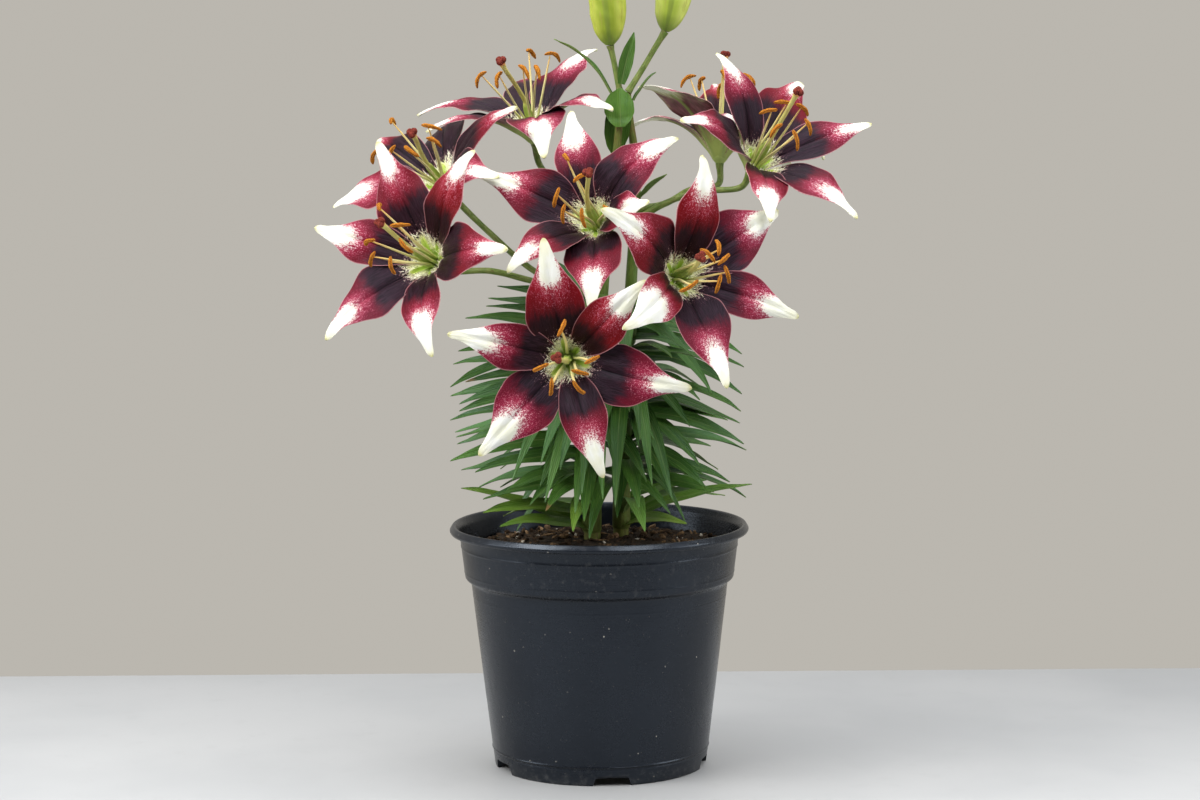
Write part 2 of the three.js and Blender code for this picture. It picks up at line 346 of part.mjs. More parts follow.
// ---------------------------------------------------------------- paths
// A round or ribbed rod that follows points, with its own radius at each one.
function rod(points, radii, sides = 8, steps = 10, ribs = 0) {
  const curve = new THREE.CatmullRomCurve3(points, false, 'centripetal');
  const rings = [];
  let ref = new THREE.Vector3(0, 1, 0);
  const t0 = curve.getTangent(0);
  if (Math.abs(t0.dot(ref)) > 0.8) ref = new THREE.Vector3(1, 0, 0);
  for (let i = 0; i <= steps; i++) {
    const t = i / steps, p = curve.getPoint(t), d = curve.getTangent(t);
    const f = t * (radii.length - 1), k = Math.min(Math.floor(f), radii.length - 2), r = radii[k] + (radii[k + 1] - radii[k]) * (f - k);
    const x = ref.clone().addScaledVector(d, -ref.dot(d)).normalize(), y = new THREE.Vector3().crossVectors(d, x);
    ref = x;
    const ring = [];
    for (let j = 0; j < sides; j++) {
      const a = 2 * Math.PI * j / sides, q = r * (1 + ribs * Math.cos(3 * a));
      ring.push(p.clone().addScaledVector(x, q * Math.cos(a)).addScaledVector(y, q * Math.sin(a)));
    }
    rings.push(ring);
  }
  return loft(rings);
}
// The three directions of a flower: out of its throat, and two across it.
function flowerFrame(axis) {
  const a = V(axis).normalize();
  const ref = Math.abs(a.z) < 0.85 ? new THREE.Vector3(0, 0, 1) : new THREE.Vector3(0, -1, 0);
  const e1 = ref.addScaledVector(a, -ref.dot(a)).normalize();
  return { a, e1, e2: new THREE.Vector3().crossVectors(a, e1) };
}
const table = (rows, s) => {
  let k = 0;
  while (k < rows.length - 2 && s > rows[k + 1][0]) k++;
  const [s0, v0] = rows[k], [s1, v1] = rows[k + 1];
  return v0 + (v1 - v0) * Math.min(1, Math.max(0, (s - s0) / (s1 - s0)));
};

// One petal: its midrib leaves the throat at angle t0 from the axis, turns out to
// tm half way along and back to t1 at its tip, and bends sideways by bend degrees.
function petal(centre, axis, [, kind, az, t0, tm, t1, bend, length], grow = 0, from = 0) {
  const { a, e1, e2 } = flowerFrame(axis), c = V(centre), phi = rad(az);
  const u = e1.clone().multiplyScalar(Math.cos(phi)).addScaledVector(e2, Math.sin(phi));
  const w = new THREE.Vector3().crossVectors(a, u), N = 24;
  const inner = kind === 'i', W = (inner ? INNER_PETAL_WIDTH : OUTER_PETAL_WIDTH) / 2, prof = inner ? INNER_PROFILE : OUTER_PROFILE;
  const pts = [c.clone().addScaledVector(u, PETAL_BASE_RADIUS)], dirs = [], bins = [];
  for (let i = 0; i < N; i++) {
    const s = (i + 0.5) / N, th = rad(t0 * (1 - s) * (1 - 2 * s) + tm * 4 * s * (1 - s) + t1 * s * (2 * s - 1)), be = rad(bend) * s;
    const out = u.clone().multiplyScalar(Math.cos(be)).addScaledVector(w, Math.sin(be));
    const d = a.clone().multiplyScalar(Math.cos(th)).addScaledVector(out, Math.sin(th));
    dirs.push(d); bins.push(w.clone().multiplyScalar(Math.cos(be)).addScaledVector(u, -Math.sin(be)));
    pts.push(pts[i].clone().addScaledVector(d, length / N));
  }
  const at = (s) => {
    const f = s * N, k = Math.min(Math.floor(f), N - 1);
    return { p: pts[k].clone().lerp(pts[k + 1], f - k), d: dirs[k], b: bins[k] };
  };
  const rings = [];
  const S = PETAL_STATIONS.filter((s) => s >= from);
  for (const s of S) {
    const { p, d, b } = at(s);
    const nn = new THREE.Vector3().crossVectors(d, b).normalize();   // towards the inside of the flower
    const hw = W * table(prof, s) + grow, cup = table(PETAL_CUP, s), th = (table(PETAL_THICKNESS, s) + 2 * grow) / 2;
    const q = (v, side) => p.clone().addScaledVector(b, v * hw).addScaledVector(nn, cup * v * v * hw + side * th * (1 - 0.75 * v * v));
    rings.push([q(-1, 0), q(-0.38, 1), q(0.38, 1), q(1, 0), q(0.38, -1), q(-0.38, -1)]);
  }
  return loft(rings, null, at(1).p, true);
}
// One leaf: a flat blade with a keel, arched between its base and its tip.
function leafPath(base, tip, arch) {
  const b = V(base), t = V(tip), m = b.clone().lerp(t, 0.45); m.z += arch * 1.6;
  return new THREE.QuadraticBezierCurve3(b, m, t);
}
function leaf(base, tip, arch, width, roll = 0, grow = 0, from = 0, broad = false) {
  const curve = leafPath(base, tip, arch), rings = [];
  const prof = broad ? BROAD_PROFILE : LEAF_PROFILE;
  const S = LEAF_STATIONS.filter((s) => s >= from);
  for (const s of S) {
    const p = curve.getPoint(s), d = curve.getTangent(s);
    let side = new THREE.Vector3().crossVectors(d, new THREE.Vector3(0, 0, 1));
    if (side.length() < 0.25 || broad) side = new THREE.Vector3().crossVectors(d, new THREE.Vector3(0, -1, 0));
    side.normalize().applyAxisAngle(d, rad(roll));
    const up = new THREE.Vector3().crossVectors(side, d).normalize();
    const hw = width / 2 * table(prof, s) + grow, th = LEAF_THICKNESS / 2 + grow, keel = 0.10 * hw;
    rings.push([
      p.clone().addScaledVector(side, -hw).addScaledVector(up, keel * 2), p.clone().addScaledVector(up, th),
      p.clone().addScaledVector(side, hw).addScaledVector(up, keel * 2), p.clone().addScaledVector(up, -th)]);
  }
  return loft(rings, null, curve.getPoint(1));
}
function stamens(centre, axis, list) {
  const { a, e1, e2 } = flowerFrame(axis), c = V(centre);
  const ring = new THREE.LatheGeometry([[2.5, 2.8], [3.6, 2.8], [3.6, 3.9], [2.5, 3.9], [2.5, 2.8]].map(([x, y]) => new THREE.Vector2(x, y)), 6);
  let body = solid(ring.applyMatrix4(onAxis(centre, axis)));
  for (const [az, spread] of list) {
    const phi = rad(az), sp = rad(spread);
    const u = e1.clone().multiplyScalar(Math.cos(phi)).addScaledVector(e2, Math.sin(phi));
    const p0 = c.clone().addScaledVector(a, 3.2).addScaledVector(u, 3.05);
    const tip = c.clone().addScaledVector(a, 3 + FILAMENT_LENGTH * Math.cos(sp)).addScaledVector(u, FILAMENT_LENGTH * Math.sin(sp));
    const mid = p0.clone().lerp(tip, 0.5).addScaledVector(a, FILAMENT_LENGTH * Math.sin(sp) * 0.16);
    // the filament and, hung across its end, the anther, as one rod
    const along = u.clone().multiplyScalar(Math.cos(sp) * 0.86).addScaledVector(a, -Math.sin(sp) * 0.86 - 0.35).normalize();
    const q = tip.clone().addScaledVector(along, ANTHER_LENGTH * 0.3), end = tip.clone().addScaledVector(along, ANTHER_LENGTH * 0.8).addScaledVector(a, -2);
    body = body.add(solid(rod([p0, mid, tip, q, end], [0.8, 0.65, 0.7, 1.7, 0.5], 3, 4)));
  }
  return body;
}
function pistil(centre, axis, [az, spread]) {
  const { a, e1, e2 } = flowerFrame(axis), c = V(centre), phi = rad(az), sp = rad(spread);
  const u = e1.clone().multiplyScalar(Math.cos(phi)).addScaledVector(e2, Math.sin(phi));
  const at = (h, off) => c.clone().addScaledVector(a, h).addScaledVector(u, off);
  const end = STYLE_LENGTH * Math.sin(sp), top = 3 + STYLE_LENGTH * Math.cos(sp);
  const pts = [at(2.8, 0), at(12, end * 0.02), at(20, end * 0.06), at(22, end * 0.08), at(top * 0.65, end * 0.42), at(top - 5, end * 0.88), at(top - 2.5, end * 0.95), at(top, end)];
  return rod(pts, [2.0, 2.1, 1.9, 1.25, 1.2, 1.4, 3.0, 2.2], 5, 7);
}
// Turns a shape made round +Y into place round a flower's axis.
function onAxis(centre, axis) {
  const q = new THREE.Quaternion().setFromUnitVectors(new THREE.Vector3(0, 1, 0), V(axis).normalize());
  return new THREE.Matrix4().compose(V(centre), q, new THREE.Vector3(1, 1, 1));
}
function perianth(f) {
  const knob = new THREE.LatheGeometry([[0, -2.5], [2.4, -2.5], [4.6, 0], [4.9, 2.5], [0, 2.5]].map(([x, y]) => new THREE.Vector2(x, y)), 6);
  let body = solid(knob.applyMatrix4(onAxis(f.c, f.ax)));
  for (const t of f.tepals) body = body.add(solid(petal(f.c, f.ax, t)));
  return body;
}
function bud(base, tip, width) {
  const b = V(base), t = V(tip), r = width / 2;
  const pts = [0, 0.04, 0.12, 0.25, 0.42, 0.58, 0.72, 0.84, 0.93, 1].map((s) => b.clone().lerp(t, s));
  return rod(pts, [0.22, 0.5, 0.78, 0.97, 1, 0.92, 0.76, 0.56, 0.36, 0.12].map((k) => k * r), 9, 7, 0.05);
}

// ---------------------------------------------------------------- pot and soil
const turned = (profile, segments) => new THREE.LatheGeometry(profile.map(([x, y]) => new THREE.Vector2(x, y)), segments).rotateX(Math.PI / 2);
function pot() {
  const w = WALL;
  const body = solid(turned([
    [0, 0], [25, 0], [27.5, 3.4], [55.5, 3.4], [57.6, 0], [FOOT_RADIUS, 0], [BODY_FOOT_RADIUS, FOOT_HEIGHT + 0.6],
    [BODY_TOP_RADIUS, COLLAR_BOTTOM - 1], [COLLAR_RADIUS - 0.4, COLLAR_BOTTOM + 1.4],
    [78.7, 129], [80, 133.2], [84.2, 133.8], [RIM_RADIUS, 135.4], [83.2, RIM_TOP], [81.6, RIM_TOP - 0.3],
    [79.4, 135], [COLLAR_RADIUS - w, COLLAR_BOTTOM + 3.4], [COLLAR_RADIUS - w - 2.2, COLLAR_BOTTOM + 1.4], [BODY_TOP_RADIUS - w, COLLAR_BOTTOM - 2.4],
    [BODY_FOOT_RADIUS - w, FOOT_HEIGHT], [59.4, 5.1], [29, 5.1], [26.5, 1.8], [0, 1.8]], 30));
  let cut = null;
  for (let i = 0; i < DRAIN_SLOTS; i++) {
    const a = rad(-90 + DRAIN_SLOT_START + i * 360 / DRAIN_SLOTS);
    // a notch with slanted sides: a wedge laid along the radius
    const s = new THREE.Shape([[-DRAIN_SLOT_WIDTH / 2 - 1.5, -2], [DRAIN_SLOT_WIDTH / 2 + 1.5, -2], [DRAIN_SLOT_WIDTH / 2 - 0.8, DRAIN_SLOT_TOP], [-DRAIN_SLOT_WIDTH / 2 + 0.8, DRAIN_SLOT_TOP]].map(([x, y]) => new THREE.Vector2(x, y)));
    const g = new THREE.ExtrudeGeometry(s, { depth: 9, bevelEnabled: false });
    g.rotateX(Math.PI / 2).translate(0, 64, 0).rotateZ(a - Math.PI / 2);
    const m = solid(g);
    cut = cut ? cut.add(m) : m;
  }
  return main(body.subtract(cut));
}
function soil(stems) {
  const w = WALL + GAP;
  let body = solid(turned([
    [0, 2.1], [26.3, 2.1], [28.8, 5.4], [59.1, 5.4], [BODY_FOOT_RADIUS - w, FOOT_HEIGHT], [BODY_TOP_RADIUS - w, COLLAR_BOTTOM - 2.2], [COLLAR_RADIUS - w - 2.2, COLLAR_BOTTOM + 1.8],
    [COLLAR_RADIUS - w, COLLAR_BOTTOM + 3.6], [76.0, SOIL_EDGE], [40, SOIL_CROWN - 1.6], [0, SOIL_CROWN]], 30));
  for (const s of stems) body = body.subtract(s);
  return main(body);
}

// ---------------------------------------------------------------- assembly
const COLOURS = {
  pot: [0x24272c, 0.42], soil: [0x2b211a, 0.95], stem: [0x4c5a1e, 0.6], leaf: [0x2f5a1c, 0.5], bract: [0x3c6420, 0.5],
  petals: [0x5a1226, 0.5], stamens: [0xd18a2a, 0.7], pistil: [0x9aa04a, 0.5], bud: [0x9cab3c, 0.5],
};
const lily = new THREE.Group();
lily.name = 'potted_lily';
function place(name, shape, kind) {
  const [color, roughness] = COLOURS[kind];
  const mesh = new THREE.Mesh(geometry(shape), new THREE.MeshStandardMaterial({ color, roughness, metalness: 0 }));
  mesh.name = name;
  lily.add(mesh);
}
const stemPoints = (side) => {
  const p = STEMS[side].map(V);
  p[0].z = STEM_SOCKET_BOTTOM;
  return p;
};
const stemRod = (side, grow) => solid(rod(stemPoints(side), STEM_RADII[side].map((r) => r + grow), 8, 11));
const stalkPoints = (key) => {
  const [, p, mids] = STALKS[key], f = FLOWERS[key], { a } = flowerFrame(f.ax), c = V(f.c);
  return [V(p), ...mids.map(V), c.clone().addScaledVector(a, -14), c.clone().addScaledVector(a, -2.5 - GAP)];
};
const stalk = (key, grow) => solid(rod(stalkPoints(key), STALK_RADIUS.map((r) => r + grow), 6, 5));
const budPoints = (key) => {
  const [, p, mids, b, t] = BUDS[key], end = V(b), d = V(t).sub(end).normalize();
  return [V(p), ...mids.map(V), end.clone().addScaledVector(d, -2 * GAP)];
};

place('pot', pot(), 'pot');
place('potting_soil', soil(['left', 'right'].map((s) => stemRod(s, GAP))), 'soil');

for (const side of ['left', 'right']) {
  let s = stemRod(side, 0);
  for (const k of Object.keys(STALKS)) if (STALKS[k][0] === side) s = s.add(stalk(k, 0));
  for (const k of Object.keys(BUDS)) if (BUDS[k][0] === side) s = s.add(solid(rod(budPoints(k), [1.7, 1.5, 1.6, 2.0], 6, 4)));
  place(`stem_${side}`, main(s), 'stem');

  // Leaves, tier by tier, on the sleeve of leaf bases that clasps the stem.
  const rows = LEAVES.filter((l) => l[0] === side), tiers = Math.max(...rows.map((l) => l[1])) + 1;
  const inside = stemRod(side, GAP), clasp = stemRod(side, GAP + SLEEVE).subtract(inside);
  let stalks = null;
  for (const k of Object.keys(STALKS)) if (STALKS[k][0] === side) { const q = stalk(k, GAP); stalks = stalks ? stalks.add(q) : q; }
  const zs = [...Array(tiers).keys()].map((t) => rows.filter((l) => l[1] === t).map((l) => l[2][2]));
  for (let t = 0; t < tiers; t++) {
    const lo = t === 0 ? Math.min(...zs[0]) - 2.5 : (Math.max(...zs[t - 1]) + Math.min(...zs[t])) / 2 + GAP / 2;
    const hi = t === tiers - 1 ? Math.max(...zs[t]) + 2.5 : (Math.max(...zs[t]) + Math.min(...zs[t + 1])) / 2 - GAP / 2;
    const slab = solid(new THREE.BoxGeometry(300, 300, hi - lo).translate(0, 0, (hi + lo) / 2));
    let tier = clasp.intersect(slab);
    for (const [, k, base, tip, arch, width, roll] of rows) if (k === t) tier = tier.add(solid(leaf(base, tip, arch, width, roll)));
    tier = tier.subtract(inside);
    if (stalks) tier = tier.subtract(stalks);
    place(`leaves_${side}_tier_${t + 1}`, main(tier), 'leaf');
  }
}
for (const [name, base, tip, arch, width, roll, broad] of BRACTS) place(name, solid(leaf(base, tip, arch, width, roll, 0, 0, broad)), 'bract');

for (const [key, f] of Object.entries(FLOWERS)) {
  place(`flower_${key}_petals`, main(perianth(f)), 'petals');
  place(`flower_${key}_stamens`, main(stamens(f.c, f.ax, f.stamens)), 'stamens');
  place(`flower_${key}_pistil`, solid(pistil(f.c, f.ax, f.style)), 'pistil');
}
for (const [key, [, , , base, tip, width]] of Object.entries(BUDS)) place(`bud_${key}`, solid(bud(base, tip, width)), 'bud');

export default lily;
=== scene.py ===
"""The looks of a potted lily: eight open crimson flowers with ivory tips, two buds, leafy stems,
potting mix and a round nursery pot. Lengths in the tables are millimetres, +Z up, -Y the front."""

import math

import bpy
import numpy as np
from mathutils import Matrix, Vector


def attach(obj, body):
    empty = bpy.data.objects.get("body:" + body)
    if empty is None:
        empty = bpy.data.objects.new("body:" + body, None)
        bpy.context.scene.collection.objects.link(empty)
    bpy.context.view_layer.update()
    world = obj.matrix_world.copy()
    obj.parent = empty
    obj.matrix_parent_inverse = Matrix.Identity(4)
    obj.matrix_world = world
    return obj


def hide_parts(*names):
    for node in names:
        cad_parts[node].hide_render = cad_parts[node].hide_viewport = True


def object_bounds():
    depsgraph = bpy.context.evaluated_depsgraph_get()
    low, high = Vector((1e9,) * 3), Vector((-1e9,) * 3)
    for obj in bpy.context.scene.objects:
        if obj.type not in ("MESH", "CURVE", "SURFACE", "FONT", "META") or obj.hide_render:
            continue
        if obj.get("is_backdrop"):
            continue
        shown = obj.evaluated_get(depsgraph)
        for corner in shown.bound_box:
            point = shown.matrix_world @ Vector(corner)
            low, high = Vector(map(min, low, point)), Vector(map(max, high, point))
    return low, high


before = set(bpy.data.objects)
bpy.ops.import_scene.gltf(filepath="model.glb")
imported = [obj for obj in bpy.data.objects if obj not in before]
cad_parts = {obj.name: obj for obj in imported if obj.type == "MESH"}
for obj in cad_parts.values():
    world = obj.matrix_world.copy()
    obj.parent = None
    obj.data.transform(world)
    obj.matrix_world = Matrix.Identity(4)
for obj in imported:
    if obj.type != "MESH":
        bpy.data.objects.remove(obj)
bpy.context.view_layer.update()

# ------------------------------------------------------------------ tables (millimetres, degrees)
# Petals: name, inner or outer, azimuth, three angles of the midrib from the flower's axis,
# sideways bend, length. Stamens and style: azimuth, angle from the axis.
FLOWERS = {
    'front': dict(c=[-15.8, -80, 240.1], ax=[-0.0375, -0.9992, 0.0166], tepals=[
        ('a1', 'i', 13.3, 34.1, 65.3, 106.6, -7.7, 74),
        ('a2', 'i', 253.6, 35.2, 69, 105.9, 8.1, 74),
        ('a3', 'i', 135.8, 36, 69.4, 103.3, 2.3, 74),
        ('a4', 'o', 72.5, 34, 63.9, 106.2, 5.8, 72),
        ('a5', 'o', 197.5, 33.7, 64.8, 107.8, -0.9, 72),
        ('a6', 'o', 315.4, 32.1, 55.7, 106.3, 2, 72),
    ], stamens=[[4.2, 23], [91.3, 13.4], [148.2, 14.8], [209.8, 15.3], [245.9, 9.6], [279.9, 16.9]], style=[32.3, 5.7]),
    'left': dict(c=[-87.8, -52, 290], ax=[-0.5171, -0.7781, 0.3567], tepals=[
        ('b1', 'i', 24.6, 39, 68, 84.5, 11.3, 74),
        ('b2', 'o', 327.1, 39.9, 59.3, 106.9, 5.1, 72),
        ('b3', 'i', 268.1, 36.6, 64.3, 102.9, 5.2, 74),
        ('b4', 'o', 204.1, 39.4, 66, 114.3, 3.5, 72),
        ('b5', 'i', 141.6, 39.6, 65.7, 98.1, 0.5, 74),
        ('b6', 'o', 84.2, 36.1, 64.3, 94.3, -2.7, 72),
    ], stamens=[[30, 23], [115.3, 10.4], [161.1, 15.8], [208.3, 20.1], [251.5, 17], [304.7, 11.1]], style=[306.3, 5.5]),
    'upper_left': dict(c=[-83.8, 8, 327.6], ax=[-0.5315, -0.5, 0.6837], tepals=[
        ('c1', 'i', 128.3, 36.7, 72.3, 117.8, -19.5, 74),
        ('c2', 'o', 71.9, 35.2, 74.8, 112.4, 0.5, 72),
        ('c3', 'i', 23.2, 37.4, 98.2, 122.2, 35.1, 74),
        ('c4', 'o', 309, 41.3, 62.8, 103, -9.3, 72),
        ('c5', 'i', 257, 33.8, 69.9, 122.8, 12.3, 74),
        ('c6', 'o', 190, 38, 112, 168, 0, 66),
    ], stamens=[[58.7, 20], [139.4, 23], [199.6, 17.8], [233.6, 23.1], [267.6, 31], [289.4, 23.8]], style=[254.1, 24.1]),
    'top_left': dict(c=[-35.9, 38, 355.5], ax=[-0.1738, -0.1961, 0.9651], tepals=[
        ('d1', 'i', 249.1, 26.7, 69.7, 114.9, 14.5, 74),
        ('d2', 'o', 302.2, 39.8, 68.5, 112.4, -4.5, 72),
        ('d3', 'o', 182.9, 35.7, 71, 106.6, -5.1, 72),
        ('d4', 'i', 128.8, 32.6, 53.3, 105.8, 6.1, 74),
        ('d5', 'o', 57, 35.5, 73.1, 122.2, -22.9, 72),
        ('d6', 'i', 11.4, 30.5, 88.2, 147.1, -13.4, 74),
    ], stamens=[[78.6, 23], [157.2, 20], [297.3, 31], [331.3, 31], [5.3, 26.6], [24, 30.2]], style=[340.9, 29.1]),
    'middle': dict(c=[0.5, -33, 307.7], ax=[-0.2728, -0.8046, 0.5274], tepals=[
        ('e1', 'i', 76.6, 30.9, 70, 103.5, -6.4, 74),
        ('e2', 'o', 19.8, 34.4, 72.4, 114.5, -2.3, 72),
        ('e3', 'i', 317.9, 28.4, 65.5, 134.4, -8.7, 74),
        ('e4', 'o', 259.1, 27, 41.8, 72.6, 0.7, 58),
        ('e5', 'i', 199.3, 36, 67.7, 91.2, -11.1, 74),
        ('e6', 'o', 144.2, 36.9, 49.3, 93.7, 6.4, 72),
    ], stamens=[[23.3, 23], [134.8, 12.6], [168.8, 19.9], [202.8, 24.1], [236.8, 31], [312.8, 4.3]], style=[273.8, 11.6]),
    'right': dict(c=[41.4, -75, 282.7], ax=[0.427, -0.8752, 0.2274], tepals=[
        ('f1', 'i', 59.6, 34.5, 58.7, 101.1, -1.2, 74),
        ('f2', 'o', 354.2, 33, 55.8, 116.1, -5.4, 72),
        ('f3', 'i', 302.6, 34.9, 77.8, 122.9, -8, 74),
        ('f4', 'o', 240.3, 36.6, 68.8, 107.9, 9.4, 72),
        ('f5', 'i', 180.4, 36.7, 60.6, 89.1, 9.8, 74),
        ('f6', 'o', 121.4, 32.9, 54.8, 100.2, 1.7, 72),
    ], stamens=[[56.3, 5.3], [128.6, 23], [181.7, 12.8], [215.7, 9.2], [280.5, 3.5], [347.4, 7.4]], style=[85.3, 14.1]),
    'upper_right': dict(c=[86.5, -12, 338.5], ax=[0.3988, -0.5846, 0.7066], tepals=[
        ('g1', 'i', 82.5, 39, 55.8, 105.7, 3.9, 74),
        ('g2', 'o', 15.7, 31.5, 56.6, 114.3, -14.7, 72),
        ('g3', 'i', 324.4, 36.1, 70.9, 114.4, -22.5, 74),
        ('g4', 'o', 264.4, 35.8, 57.5, 77.7, 5.7, 72),
        ('g5', 'i', 200.4, 44.3, 64.1, 101.9, -2, 74),
        ('g6', 'o', 146.9, 36.8, 71, 105.4, 8.7, 72),
    ], stamens=[[30.7, 3.4], [96.6, 16.3], [130.6, 23.3], [164.6, 25], [204.3, 16.2], [260.2, 8.1]], style=[26.7, 0.9]),
    'back_right': dict(c=[71.2, 46, 343.1], ax=[0.036, 0.1642, 0.9858], tepals=[
        ('h1', 'i', 308, 29.6, 55.4, 111.3, -2.2, 74),
        ('h2', 'i', 186.2, 33.4, 38.3, 76.1, -9.5, 74),
        ('h3', 'i', 68, 34, 92, 150, 0, 72),
        ('h4', 'o', 128, 34, 98, 158, 0, 68),
        ('h5', 'o', 8, 28, 72, 165, 0, 58),
        ('h6', 'o', 248, 30, 66, 118, -14, 66),
    ], stamens=[[43.7, 23], [88.7, 17], [178.7, 26.8], [223.7, 20], [268.7, 23], [358.7, 20]], style=[10, 6]),
}
STEMS = {
    'left': [[-4.2, -3, 117.4], [-4.1, -3, 126], [-3.3, -3, 163.3], [-1.3, -2, 208.8], [1.3, 0, 254.1], [5, 2, 293.5], [9.7, 3, 332.8], [12.8, 2, 365.3], [13.4, 1, 382.1]],
    'right': [[12.4, 6, 115.7], [12.4, 6, 124.4], [13.2, 7, 161.8], [15.2, 9, 207.5], [17.8, 10, 253.2], [20.3, 11, 292.9], [22.2, 11, 321.2], [21.2, 10, 349.4], [19, 9, 367.4], [18, 8, 382]],
}
STALKS = {
    'front': ('left', [1.3, 0, 248.4], []),
    'left': ('left', [0.2, 0, 255.2], [[-21, -12, 272.6], [-40.3, -22, 279], [-59.2, -33, 284.3]]),
    'upper_left': ('left', [2, 1, 265.3], [[-21.2, 4, 273.8], [-38.1, 6, 283.4], [-60.7, 10, 303.1]]),
    'top_left': ('left', [6.2, 3, 303.6], [[-9.6, 16, 317.8], [-25, 28, 332.3]]),
    'middle': ('left', [5.5, 1, 286.8], []),
    'right': ('right', [18.4, 10, 264.5], []),
    'upper_right': ('right', [21.5, 11, 308.7], [[35.7, 9, 317.8], [57.1, 4, 325.7]]),
    'back_right': ('right', [22.1, 11, 315.5], [[38.1, 13, 318.7], [53.2, 24, 326.2]]),
}
BUDS = {
    'left': ('left', [13.4, 1, 382.1], [[10.2, 0, 398.8]], [8, -1, 408.2], [2.3, -5, 472.6], 21),
    'right': ('right', [18, 8, 382], [[27.7, 10, 397.1], [33.4, 12, 406.6]], [39.1, 13, 416], [58, 18, 478], 20.5),
}
